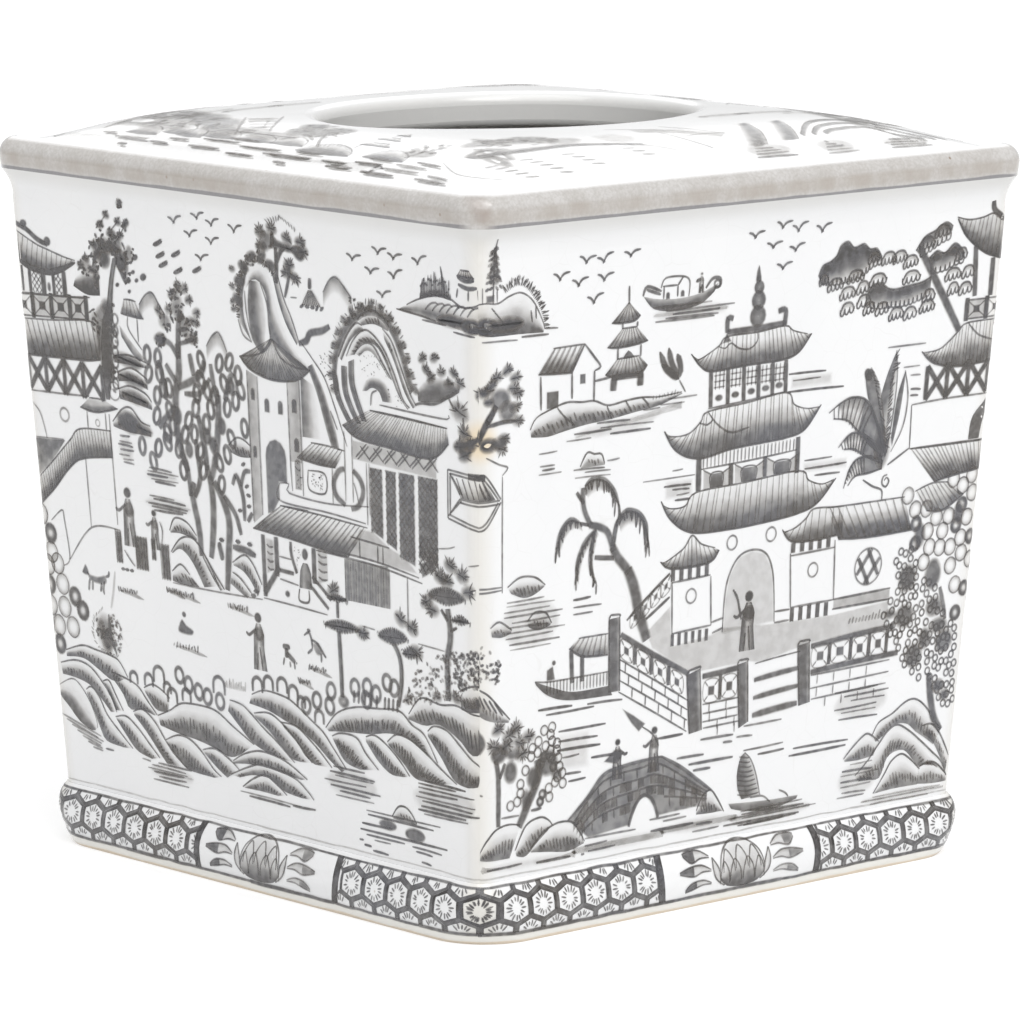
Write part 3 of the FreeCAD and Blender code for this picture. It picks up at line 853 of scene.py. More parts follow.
def paintArchRock():
    rim = [(29.4, 106), (28.8, 110), (30, 115), (33, 120), (37, 122.8), (41.4, 124), (46, 122.4),
           (49.4, 118.4), (51.6, 113.6), (53.6, 108.6)]
    inner = [(31, 105.6), (30.4, 109.6), (31.6, 114), (34.4, 118), (38, 120.8), (41.6, 121.8), (45, 120.6),
             (48, 117), (50.2, 112.4), (52.2, 107.4)]
    shade(rim, inner, (0.1, 0.5, 0.66, 0.3))
    for spot in even(curve(rim), 16):
        wash(oval(spot.x, spot.y, 1.5, 1.1, hand.uniform(-50, 50)), 0.5, 0.7)
    needles(rim, 1.5, 0.46, 1.0)
    stones([(31, 117), (37, 123.6), (42, 125), (47, 122.6), (50, 118.6), (47, 120.6), (42, 122.8),
            (37, 121)], 0.9, 50, 0.5)
    lobe([(31, 112.6), (33.6, 117), (36.4, 119.8), (38.4, 119.6)],
         [(32, 112), (34.6, 116), (37.4, 118.2), (38.8, 118.4)])
    lobe([(37, 120.6), (39, 122.2), (42, 122.8), (45, 121.6), (46.4, 120)],
         [(38.6, 119.6), (42, 120.2), (46, 119.2)], 0.6)
    lobe([(33.4, 113), (35.6, 116.4), (38.4, 118.6), (41, 118.4), (44.6, 115.6), (47.6, 111), (50, 106.4),
          (52, 104.8)], [(36, 113.6), (38, 116), (41, 116.4), (43.4, 115.2), (46, 111.6), (48.4, 107.4),
            (50, 105.6), (51.4, 104.4)], 0.66)
    lobe([(44.4, 119.6), (47, 117.4), (49.4, 113), (52, 108), (54, 105.4)],
         [(45, 117.4), (47.6, 113.6), (50.4, 108), (53, 104.8)])
    lobe([(36, 114), (38.6, 116), (41.4, 116), (44.4, 112.6), (46.8, 109.8)],
         [(37.4, 113.4), (39.6, 114.8), (42, 114), (46, 110)], 0.55)
    for top, bottom in (([(29, 109), (29.8, 104.6), (33, 100)], [(30.4, 109), (31.4, 104.4), (34.6, 100)]),
            ([(31.8, 111), (32, 106), (34.4, 101.6), (36, 100)],
             [(33.4, 111), (33.6, 106), (36, 101.6), (37.4, 100)]),
            ([(34, 112), (34, 108), (35.6, 104), (37.6, 100.6)],
             [(35.6, 112.6), (35.6, 108), (37.2, 104), (39, 100.6)])):
        shade(top, bottom, (0.55, 0.68, 0.6, 0.2))
        line(bottom, 0.4, 0.5)
    shade([(37.8, 106.6), (39.4, 109.2), (43, 109.8), (46, 108), (47, 105.2)],
          [(39.4, 106.8), (41, 107.6), (43, 107), (44, 105.2)], (0.0, 0.3, 0.68, 0.66))
    line([(40.4, 104), (40.8, 106.4), (42.4, 107.2)], 0.5, 0.55)
    stones([(37, 114), (43, 114), (46, 110), (38, 109.6)], 0.4, 30, 0.4)
    stones([(45, 108), (49, 108), (50, 104.6), (47, 104.6)], 0.4, 14, 0.45)
    stones([(34.6, 125), (38.4, 125.4), (38.4, 123.6), (35, 123.4)], 0.8, 7, 0.66)
    # bush to its right
    shade([(54.4, 108.6), (58, 111.4), (63, 111.6), (67, 110.8)],
          [(54.6, 106.4), (58, 106.6), (63, 107.6), (66.6, 109.4)], (0.05, 0.4, 0.66, 0.6))
    line([(53.6, 105.6), (56, 106.2), (60, 106.6), (66, 109.6)], 0.8, 0.68)
    for u, v in ((56, 115), (59.4, 115.4), (57, 112.8), (61.4, 112.8), (65, 113), (66.8, 111.2),
            (58.4, 111.4), (63.6, 110.8)):
        tuft(u, v, 1.8, 0.68, 7, 200, 90)
    tuft(66.6, 105.6, 3.4, 0.62, 9, 220, 100)
    lines([[(63.4, 108), (65, 106)], [(67.6, 104.6), (68, 102)]], 0.6, 0.5)
    # islet running round the corner, with reeds and a stilted shelter
    shade([(51.6, 125), (55, 126.4), (60, 127.7), (64, 127.4), (68, 126), (74, 127.2)],
          [(49, 123.8), (55, 123.2), (60, 122.4), (64, 122), (68, 121.4), (74, 121)],
          (0.0, 0.05, 0.2, 0.5, 0.3))
    lines([[(51.6, 125), (55, 126.4), (60, 127.7), (64, 127.4), (68, 126), (74, 127.2)],
           [(48.6, 123.9), (55, 123.3), (60, 122.6)], [(56, 122.5), (63, 122.1)], [(65, 121), (71, 120.5)]],
          0.5, 0.6)
    for number in range(7):
        start = 57 + number * 2.0
        line([(start, 124.6 - number * 0.06), (start + 1.4, 125.8), (start + 3, 126.2),
              (start + 3.8, 125.8)], 0.5, 0.5)
    blot(65, 123, 5, 1.6, 0.56, 1.0)
    blot(70, 122.4, 3, 1.8, 0.9, 1.0)
    blot(71, 121.8, 2, 1.0, 1.0, 0.8)
    for number in range(20):
        u = 55.8 + number * 0.42
        top = 129.4 + 2.4 * math.sin(math.pi * number / 21) + hand.uniform(-0.8, 0.9)
        line([(u, 126.8 + 0.04 * number), (u + hand.uniform(-0.3, 0.2), top)], 0.4, 0.56, 0.3)
        dab(u, top - hand.uniform(0.2, 2), 0.7, 60, 0.6, 0.6)
    shade([(55.4, 127.8), (60, 129), (64.4, 128.4)], [(55.4, 126.4), (60, 127.4), (64.4, 127)],
          (0.0, 0.6, 0.7))
    line([(62.6, 128), (62, 131), (61.4, 133.4)], 0.6, 0.6, 0.4)
    lines([[(66.4, 130.4), (69, 129.8), (71.6, 130)], [(66.2, 131.8), (68.4, 131.2), (70.8, 131.4)]], 1.0,
          0.7, 0.5)
    roof([(67, 133.2), (69.6, 133.2)], [(66, 132), (70.8, 131.8)], 8, 0.6, 0.2)
    lines([[(66.3, 129.6), (66, 127.8)], [(69.3, 129.4), (69.3, 127.4)], [(71.8, 129.6), (72.2, 127.6)]],
          0.55, 0.55)
    # twisted tree at the corner
    lines([[(74, 104), (72.4, 102), (71.6, 100.6), (67, 99)], [(74, 100), (71.8, 100.4)]], 1.2, 0.7)
    blot(68, 99, 3.2, 2.2, 0.5, 1.6)
    for u, v in ((72.8, 109.6), (74, 108), (68, 101.6), (66.6, 98.8), (68, 97.2), (70, 99.6)):
        tuft(u, v, 2.4, 0.7, 7, 220, 100)


def paintTower():
    # fan roof and body
    roof([(10.2, 114), (11, 114)], [(0.4, 109.6), (3.6, 107.2), (10.5, 105.8), (18, 106.6), (22.2, 109)],
         30, 0.62, 0.0, 0.3)
    line([(0.4, 109.6), (5, 110.2), (8, 111.4), (10.4, 114)], 0.45, 0.55)
    line([(11, 114), (13, 110.8), (17, 109.2), (22.2, 109)], 0.45, 0.55)
    shade([(2.4, 107), (2.4, 76)], [(5.4, 106), (5.4, 78)], (0.3, 0.24, 0.2))
    shade([(15, 106.2), (15, 90)], [(18.6, 106.6), (18.6, 90)], (0.18, 0.22, 0.3))
    lines([[(2.4, 107), (2.4, 76.4)], [(5.6, 106), (5.4, 78)], [(14.9, 106), (15, 90), (15.3, 84)],
           [(18.7, 106.6), (18.7, 83.4)]], 0.5, 0.42)
    for u, v in ((4, 101), (8.3, 99), (12.5, 99), (16.9, 99.8), (3.9, 89.4), (17.2, 92)):
        archedWindow(u, v, 1.7 if u > 7 else 1.3, 3.0 if u > 7 else 2.6)
    wash([(7, 78.4), (8.8, 78.8), (11.2, 81.8), (11.2, 85.3), (13.8, 85.3), (13.8, 90.2), (13.4, 92),
          (12.2, 93.4), (10.4, 94), (8.6, 93.4), (7.4, 92), (7, 90.2)], 0.56, 0.35, False)
    lines([[(11.3, 85.2), (14.2, 85.3), (14.2, 83.5), (26, 82.8), (39, 83.7)],
           [(11.3, 85.2), (11.3, 81.6), (26, 81), (38, 80.2)], [(11.3, 80.6), (20, 80.6)]], 0.45, 0.5)
    # houses beside it
    roof([(21.6, 94.5), (27, 94.4), (32, 94)], [(17.2, 91), (23, 90.4), (29, 90.3)], 13, 0.66, 0.06, 0.45,
         -0.06)
    archedWindow(17.2, 84.4, 2.2, 6.4, 0.35)
    stones([(16.3, 84.6), (18.2, 84.6), (18.2, 90), (16.3, 90)], 0.5, 12, 0.5)
    lines([[(20.4, 88.8), (25.6, 88.6), (25.6, 84.8), (20.6, 85), (20.4, 88.8)]], 0.5, 0.55)
    stones([(20.8, 85.2), (25.4, 85), (25.4, 88.4), (20.8, 88.6)], 0.5, 26, 0.45)
    lines([[(28, 90.2), (28, 83)], [(32, 98), (32, 84)], [(34.3, 97.6), (34.3, 84)],
           [(38.6, 92.4), (38.6, 80)], [(39.4, 92.4), (39.4, 82)]], 0.45, 0.42)
    line([(31.8, 83.2), (29, 84.8), (28.4, 87.4), (30, 89.8), (31.8, 90.4)], 1.5, 0.55, 0.8)
    line([(34.4, 90.4), (36.6, 88.8), (37.4, 86.4), (36, 83.6), (33.6, 82.6)], 1.5, 0.55, 0.8)
    line([(34.6, 88), (35.4, 86), (36, 84)], 0.4, 0.45)
    roof([(40, 103), (50, 102.7), (63, 102)], [(31.6, 99.2), (36, 97), (46, 96.2), (58, 95.5), (63.4, 99)],
         44, 0.7, 0.16, 0.35, -0.02, 0.42)
    lines([[(43, 104.4), (55, 103.9), (63, 103.8), (63.4, 104.6)], [(40, 103), (50, 102.6), (63, 102)]],
          0.5, 0.5)
    wash([(34.4, 96.6), (59.8, 95.4), (59.8, 91.6), (34.4, 92.6)], 0.2, 0.3, False)
    for number in range(6):
        u = 35.4 + number * 4.1
        lines([[(u, 93.2), (u + 3.4, 96.2)], [(u + 1.4, 95.6), (u + 4.4, 93)],
               [(u + 0.6, 92.8), (u + 4, 95.8)]], 0.45, 0.5)
    for left, right, low in ((39.5, 43.4, 77.6), (44.2, 47.5, 75.8), (48.2, 53.1, 73.4), (54, 60, 74)):
        wash([(left, 91.8), (right, 91.7), (right, low), (left, low + 1.4)], 0.56, 0.3, False)
        lattice(left, right, low + 1, 91.6, 1.1, 0.4, 0.22)
    wash([(54, 74.4), (60, 76), (59, 73.4), (55, 71.4)], 0.6, 0.4, False)
    lattice(54, 60, 72.4, 78, 1.2, 0.4, 0.5)
    # front roof, pale roof and striped wall
    roof([(11, 80.6), (24, 80.2), (38.4, 79.4)], [(2, 74.9), (14, 74.2), (30, 72.8), (32.6, 73.4)], 26, 0.7,
         0.1, 0.55, -0.03, 0.55)
    wash([(36, 79), (40, 79), (45, 76.4), (50, 75), (54, 72), (32, 73)], 0.2, 0.4, False)
    lines([[(33, 77), (38, 76.7), (45, 76.2)], [(22, 72.9), (40, 72.2), (55, 70.4)],
           [(22, 73.7), (40, 73), (54, 71.4)], [(35.8, 76.6), (35.8, 73)], [(43, 76.2), (43, 72.6)],
           [(41.4, 76.2), (41.4, 72.6)]], 0.5, 0.5)
    for number in range(8):
        u = 31 + number * 1.72
        shade([(u, 72.4), (u, 64)], [(u + 1.6, 72.4), (u + 1.6, 64)], (0.2, 0.42, 0.5, 0.3))
        line([(u, 72.4), (u, 64)], 0.4, 0.45)
    lines([[(44.8, 72), (44.8, 64)], [(50.4, 71), (50.4, 60.4)]], 0.5, 0.45)
    # porch with a seated figure
    boughs((([(5, 74), (5, 61.4)], 1.5), ([(9.2, 74), (9.2, 66)], 1.6), ([(4.8, 62), (10, 68)], 1.6),
            ([(13.9, 73.6), (14, 71), (15.6, 67.4)], 1.0), ([(21.2, 73.2), (21.2, 66)], 1.6),
            ([(20.4, 67.4), (26.4, 63.4)], 0.9), ([(19.6, 65.6), (25.4, 61.4)], 0.9),
            ([(10, 67.4), (14.6, 67.2)], 1.0)), 0.66, 0.9)
    lines([[(4.4, 61), (14, 60.7), (25, 60.2)], [(10, 65.6), (16, 65)], [(10, 70.2), (14, 70)]], 0.45, 0.5)
    for left, right in ((5.8, 8.4), (22.2, 25.6)):
        wash([(left, 66), (right, 67), (right, 73.4), (left, 73.6)], 0.2, 0.4, False)
        for v in (67.6, 69.2, 70.8, 72.2):
            line([(left + 0.4, v), ((left + right) / 2, v - 0.5), (right - 0.2, v - 0.3)], 0.5, 0.5)
    stones([(15, 69), (17, 69), (17, 73), (15, 73)], 0.4, 14, 0.5)
    shade([(16.2, 64.6), (16.6, 68), (17.6, 69.8)], [(20.2, 64.6), (20, 68), (19, 69.8)],
          (0.62, 0.3, 0.45, 0.66))
    blot(18.3, 71.6, 1.1, 1.3, 0.66, 0.4)
    line([(16.2, 64.4), (16, 62), (19, 62), (19.2, 64.4)], 0.6, 0.6)
    blot(12.2, 62.8, 0.9, 0.8, 0.7, 0.4)
    # lantern box on the corner
    for slip in (0.0, 0.7):
        lines([[(63 + slip, 94 - slip), (63 + slip, 84.4 + slip)],
               [(63 + slip, 94 - slip), (72, 93.4 - slip)], [(63 + slip, 84.4 + slip), (72, 82.6 + slip)],
               [(63.2 + slip, 84.9 + slip), (66.6 + slip * 0.6, 88.6 - slip * 0.4)],
               [(63.6 + slip, 93.4 - slip), (66.6 + slip, 89.4)], [(66.6, 88.6 - slip), (72, 88.2 - slip)]],
              0.5, 0.5, 0.9)
    shade([(64.6, 92.8), (72, 92.4)], [(66.8, 88.8), (72, 88.4)], (0.0, 0.06, 0.2, 0.5))
    for number in range(4):
        line([(65.6 + number * 1.7, 92.6), (67.6 + number * 1.5, 88.8)], 0.4, 0.5, 0.8)
    shade([(69, 94), (72, 93.9)], [(69, 92.6), (72, 92.4)], (0.3, 0.75, 0.75, 0.2))
    lines([[(60, 78), (63, 78.4), (65, 79)], [(69, 75.6), (72, 76)]], 0.4, 0.4)


def paintLoopTree():
    # trunks and boughs
    boughs((([(-15.6, 67), (-16, 73), (-17.4, 79), (-16.6, 82)], 2.1),
            ([(-18, 79), (-18.4, 84), (-20, 88)], 1.6),
            ([(-16.6, 79), (-14.6, 83), (-15, 88), (-15.4, 91)], 1.6),
            ([(-12.4, 67), (-11.2, 73), (-10.8, 80), (-12, 86)], 2.2),
            ([(-7.6, 61), (-6.6, 68), (-5.8, 75), (-7.2, 79), (-10, 83)], 2.3),
            ([(-2, 73), (-3.6, 77), (-7, 80.4)], 1.5), ([(-11, 83), (-9, 88), (-7.6, 95), (-7, 101)], 2.2),
            ([(-12, 85), (-12.6, 90), (-14, 96)], 2.0),
            ([(-18.4, 84), (-21, 91), (-21, 99), (-19.4, 104), (-19.2, 110)], 2.4),
            ([(-21, 97), (-25, 94), (-27, 92)], 1.8),
            ([(-20, 101), (-15, 103), (-12, 105), (-11, 107.4)], 1.9),
            ([(-15.6, 108.4), (-14.6, 104)], 1.8), ([(-20.4, 102), (-23.6, 105.4)], 1.6),
            ([(-7.4, 99), (-8.6, 104), (-9, 107)], 1.6), ([(-5, 100), (-3.4, 104), (-2, 106)], 1.8),
            ([(-0.6, 76), (-0.8, 81), (-2.6, 85), (-4, 83)], 1.4), ([(-1.2, 83), (0, 86), (2, 86.4)], 1.2),
            ([(2, 78), (0.4, 76)], 1.2), ([(-24, 110.4), (-21.4, 109.6), (-19.2, 107)], 1.5),
            ([(-19, 110), (-16, 110.8), (-14, 111.6)], 1.1), ([(-19, 112.6), (-15.6, 113.6)], 1.0),
            ([(-24, 98), (-24.6, 102), (-26, 106)], 1.6), ([(-9.4, 104), (-13, 100.6), (-18, 100)], 1.4)),
           0.56, 0.75)
    line([(-19.2, 107), (-18.8, 113), (-17.6, 117)], 1.8, 0.62, 0.8)
    # ringed leaves
    for u, v in ((-21, 88.4), (-20, 84), (-15.6, 92), (-17.2, 94.6), (-9.8, 97.6), (-14, 100.4),
            (-8.2, 100.6), (-4.4, 98.6), (-1.6, 100.2), (0.8, 95), (-3.6, 92.4), (-5.2, 89), (-8, 87),
            (-7.6, 82.6), (-14, 88.6), (-13.4, 84.8), (-23.2, 96), (-27.6, 94.4), (-24.4, 91.2),
            (-24.6, 89.4), (-29.8, 84.8), (-33.2, 87.6), (-27.8, 87.8), (-12, 107.4), (-6.2, 107.4),
            (-3, 108), (-0.4, 105.6), (0.2, 102.6), (-12.4, 103.4), (-25.8, 103.4), (-29.4, 102.8),
            (-29.4, 106.8), (-26, 106.4), (-23, 100.6), (-27, 98.6), (-24.8, 100.4), (-5, 103.4),
            (-10.6, 101.4), (-14.6, 97.4), (-11.4, 94.6), (-18.6, 91.6), (-22.4, 93)):
        ring(u, v, 1.0, 1.75, 1.1, 0.54, hand.uniform(-25, 25))
    for u, v in ((-11.4, 92), (-17.6, 88.6), (-6.4, 94.6), (-9.6, 90.4), (-20.6, 95.2), (-2.8, 103)):
        blot(u, v, 1.5, 2.0, 0.58, 0.6)
    # dark clump above
    for u, v, wide, tall in ((-18.6, 117.6, 2.6, 3.6), (-16.6, 113.6, 2.0, 3.0), (-23, 114.2, 2.6, 2.2),
            (-24.6, 110.6, 2.0, 1.8), (-14.4, 111.6, 2.4, 1.8), (-18.2, 121.2, 1.4, 1.2)):
        clump(u, v, wide, tall, 0.66)
    tufts(((-18, 122, 90), (-16, 121.4, 60), (-14.8, 119.4, 20), (-20.2, 120, 150), (-21.4, 116.8, 100),
           (-15, 115, -20), (-12.6, 117, 0), (-13, 115, 0), (-14, 111.4, 20), (-24.8, 116, 130)), 1.8, 0.62,
          6, 170)
    lobe([(-4.6, 91), (-2, 92.8), (0.4, 92.6), (2.4, 91.6)], [(-4, 89.6), (-1, 89), (2.4, 89.2)])
    for u, v in ((0.6, 83.2), (1, 81.4), (1, 79.2), (-0.2, 87.6), (-2, 78)):
        dab(u, v, 1.6, hand.uniform(-20, 30), 0.9, 0.62)
    rippled(-33, -22, 80.6, 83.4, 5)
    rippled(-34, -18, 74.6, 77.6, 5)


def paintMeadow():
    # garden wall with its coping
    lines([[(-70, 92.8), (-67.6, 91), (-66.4, 88), (-65.8, 85.6)], [(-70, 85.4), (-60, 85.9)]], 0.5, 0.38)
    ring(-59, 91.2, 1.5, 1.4, 0.6, 0.35)
    shade([(-70, 85.2), (-65, 85.4), (-59.6, 85.8)], [(-70, 77.4), (-66, 80), (-62, 83.4)], (0.5, 0.5, 0.3))
    roof([(-70, 77), (-65, 80.6), (-58, 86), (-54, 88.8), (-43.6, 89.5)],
         [(-70, 71.4), (-65, 75), (-59, 80), (-54, 82.6), (-43.6, 84)], 40, 0.7, 0.2, 0.45, 0.02, 0.45)
    roof([(-50, 95.7), (-47, 95.8), (-44.6, 95.6)], [(-53.4, 93.4), (-48, 92.9), (-40.6, 94.4)], 0, 0.6,
         0.3)
    lines([[(-51.2, 93), (-51.2, 89.3)], [(-45, 93), (-45, 89.5)], [(-43.7, 93), (-43.7, 70)],
           [(-53, 82.8), (-53, 68.4)], [(-61.6, 60.6), (-53, 68.3), (-43, 69)],
           [(-67, 68.2), (-63, 70.8), (-62.4, 69), (-61.6, 61), (-64, 59)]], 0.5, 0.42)
    ring(-47.8, 90.7, 0.7, 0.7, 0.4, 0.3)
    line([(-46, 60), (-47, 56), (-48.4, 52)], 0.8, 0.16)
    # two people at a low wall
    for left, right, low, high in ((-45, -42.6, 62, 69), (-38.4, -33.8, 61.4, 68.6), (-32.8, -31, 64, 68.6),
            (-29.6, -26.4, 60.4, 68)):
        wash([(left, low), (right, low), (right, high), (left, high)], 0.62, 0.5, False)
        hatch([(left, low), (right, low), (right, high), (left, high)], 90, 0.9, 0.4, 0.3)
    person(-39.6, 66, 12.4, -1)
    person(-31, 66.4, 8.4, -1)
    lines([[(-29.2, 72.4), (-28.4, 70.6), (-29, 67.6)], [(-42, 65), (-40, 63), (-38.6, 62)]], 0.5, 0.5)
    for u in (-43, -41.6, -40):
        dab(u, 60.9, 1.5, 10, 0.8, 0.55)
    # rounded rocks under the tree
    lobe([(-26, 71), (-24, 73.8), (-20, 73.4), (-17, 71)], [(-25.6, 70.6), (-22, 70.8), (-17, 70)], 0.66)
    lobe([(-26, 66.6), (-22.4, 69.8), (-18, 70.2), (-14, 66.6), (-10.4, 61.4)],
         [(-25.4, 66.4), (-22.6, 67.6), (-19, 65.4), (-15.4, 60.6)], 0.66)
    lobe([(-26, 62.6), (-23, 64.4), (-20, 62.6)], [(-26, 60.6), (-22, 60.2), (-17, 60.4)], 0.66)
    lobe([(-14.8, 67.6), (-12, 64.4), (-8.6, 61)], [(-15.4, 66.8), (-12.4, 63), (-10, 60.6)], 0.68)
    lobe([(-5.4, 67), (-1.4, 69), (1.4, 67.4), (4, 63.6)], [(-5, 66.4), (-2, 65.6), (0.6, 63.6), (2.4, 61)],
         0.66)
    lobe([(-5.6, 65), (-3, 64), (0.4, 61.4)], [(-6.4, 62.6), (-4, 61.4), (-1, 60.2)], 0.6)
    lines([[(-5, 70.2), (-1, 70), (2.4, 69.3)], [(-9.6, 70.6), (-8.6, 67)]], 1.7, 0.66)
    for u, v in ((-3.2, 71.5), (0.6, 71.4), (-8.6, 71.2), (1, 61), (2, 62)):
        dab(u, v, 1.8, 5, 1.0, 0.7)
    line([(-26, 60.2), (-12, 60.2), (4, 60.6)], 0.45, 0.45)
    # animals, a walker and grass
    wash([(-56, 58.8), (-54.6, 58.4), (-52, 58.3), (-49.6, 58.8), (-49.1, 57.2), (-51, 56.5), (-54.4, 56.7),
          (-55.6, 57.4)], 0.5, 0.5)
    wash([(-57.8, 58.4), (-57.2, 59.4), (-56.4, 60.4), (-55.6, 59.6), (-55.2, 58.2), (-56.4, 57.9)], 0.56,
         0.4)
    lines([[(-55.2, 57.4), (-55.8, 54.8)], [(-54.2, 57), (-54.4, 55)],
           [(-50, 57.4), (-50.6, 55.6), (-50.3, 54.6)], [(-51, 57), (-51.6, 55)],
           [(-49.5, 58.4), (-48.4, 58.8), (-48.2, 59.8)]], 0.8, 0.46, 0.4)
    wash([(-25.4, 50.2), (-24, 53), (-22.4, 52), (-20, 51), (-21, 49.8)], 0.68, 0.5)
    blot(-23, 54, 0.8, 0.7, 0.62, 0.3)
    person(2, 45.8, 12, -1)
    lines([[(9.8, 51.8), (12.2, 51.9)], [(11, 50.6), (13.8, 49)], [(11, 51.6), (11, 49.6)]], 1.3, 0.6)
    lines([[(10.2, 49.6), (9.8, 48)], [(13.4, 49), (13.6, 47.6)], [(14, 49), (14.4, 48.8)],
           [(12, 49), (12.2, 47.8)]], 0.6, 0.5)
    lines([[(17, 55), (18.6, 55.8), (19.4, 54.4), (19.6, 52.6)],
           [(19.4, 54.4), (21.4, 53.8), (23.4, 51.8), (24, 51.4)], [(19.6, 52.6), (18, 51.4)],
           [(22.4, 52), (22.4, 50.2)]], 0.7, 0.6)
    wash([(19.6, 53.6), (21.6, 54), (23.2, 52), (21, 51.4)], 0.42, 0.5)
    dab(18.6, 56.2, 1.2, 0, 0.8, 0.62)
    for u, v, wide in ((-42, 56.2, 7), (-22.5, 58, 7), (-4.5, 57.6, 7), (-23, 47, 9), (21, 48.4, 6),
            (16.5, 45.2, 4), (-26, 58.2, 5)):
        grass(u, v, wide, 9, 0.6)
    for number in range(14):
        line([(-10 + number * 0.5, 40.6),
              (-10 + number * 0.5 + hand.uniform(-0.3, 0.3), 42.2 + hand.uniform(-0.6, 0.6))], 0.5, 0.22)
    # blossom balls and a bush at the left edge
    bubbles([(-65, 55), (-65, 50.2), (-67.6, 46), (-62.6, 46.2), (-70, 50), (-66.2, 59.2), (-69.6, 58.6),
             (-68, 61.4), (-70.4, 69.2), (-72, 46)], 2.35, False)
    bubbles([(-69.8, 54.4), (-61, 52.8), (-58.6, 50.2), (-68, 42), (-67.8, 65.4), (-73, 61)], 2.4, True)
    blot(-51, 46.4, 3.6, 4.8, 0.4, 2.4, 10)
    clump(-50.6, 45, 2.6, 3.2, 0.72)
    clump(-52.6, 47.4, 1.8, 2.4, 0.5)
    line([(-49.4, 50.6), (-49.2, 46), (-47.6, 42.4)], 1.1, 0.62, 0.4)
    needles([(-47, 42.4), (-51, 42.6), (-55, 44.4), (-54.6, 48.8), (-51, 51.6)], 1.2, 0.36, 0.6, -40)
    stones([(-49.4, 51.4), (-46.6, 50.4), (-45, 47), (-46.4, 43), (-48.4, 44)], 0.9, 46, 0.42)
    # pines on the right
    for left, right, v, tall in ((23.6, 35.4, 58.4, 1.5), (40.6, 50.4, 58.6, 1.9), (56.4, 68, 68.8, 2.0),
            (24.6, 31.6, 64, 0.9), (63.4, 69.4, 64.6, 1.2), (48, 53.6, 56, 1.5)):
        outline = [(left, v - tall * 0.4), (left + 1.5, v + tall * 0.6), ((left + right) / 2, v + tall),
                   (right - 1.5, v + tall * 0.7), (right, v - tall * 0.2), ((left + right) / 2, v - tall)]
        wash(outline, 0.66, 0.7)
        needles([(right, v), ((left + right) / 2, v + tall), (left, v)], 1.5, 0.6, 0.6)
        needles([(left, v), ((left + right) / 2, v - tall), (right, v)], 1.0, 0.5, 0.8)
    tufts(((63.6, 75, 90), (67, 73.4, 60), (60.4, 72.4, 100), (68.8, 70.4, 20), (56.2, 67, 180),
           (48, 62.4, 90), (51.6, 61, 40), (27, 65.4, 90), (36, 58, 0), (58, 65.6, 220), (62.4, 71.8, 90),
           (52.8, 56.4, 0)), 2.6, 0.66, 8, 190)
    for path, width in (([(60.6, 66), (62.6, 64)], 1.0),
            ([(62.6, 66.4), (63.4, 61), (62.4, 56), (62.6, 48)], 2.0),
            ([(44.4, 58.4), (47.4, 55), (48, 50), (46.8, 44.6)], 1.5), ([(28.2, 63.4), (28.2, 60)], 1.1),
            ([(28.4, 57.4), (28.7, 50), (28.8, 44)], 1.5), ([(65.4, 63), (63.4, 62)], 0.8)):
        line(path, width, 0.56, 0.9)
        line([(u + width * 0.2, v) for u, v in path], 0.4, 0.4)
    disc(29.2, 43.2, 2.0, 1.5, (0.3, 0.35, 0.5, 0.4, 0.0))
    stones([(48, 45), (52, 52), (60, 57), (68, 58.6), (74, 58), (74, 52), (66, 50), (60, 47)], 1.0, 210,
           0.42)
    stones([(62, 56), (68, 59), (74, 58.6), (74, 53), (66, 51)], 1.1, 60, 0.55)
    for u, v in ((59, 48.4), (64.6, 49), (66, 48.6), (50, 46.6)):
        tuft(u, v, 2.0, 0.5, 5, 120, 90)
    lines([[(36, 59.4), (40, 59.2)], [(53.4, 58.2), (61.6, 57.8)]], 0.4, 0.4)


def paintLoopPlants(places):  # hoops of leaf along the ridges
    for u, v, wide in places:
        line([(u - wide, v - wide * 0.9), (u - wide * 0.9, v + wide * 0.5), (u, v + wide),
              (u + wide * 0.9, v + wide * 0.5), (u + wide, v - wide * 0.9)], 0.95, 0.56, 0.7)


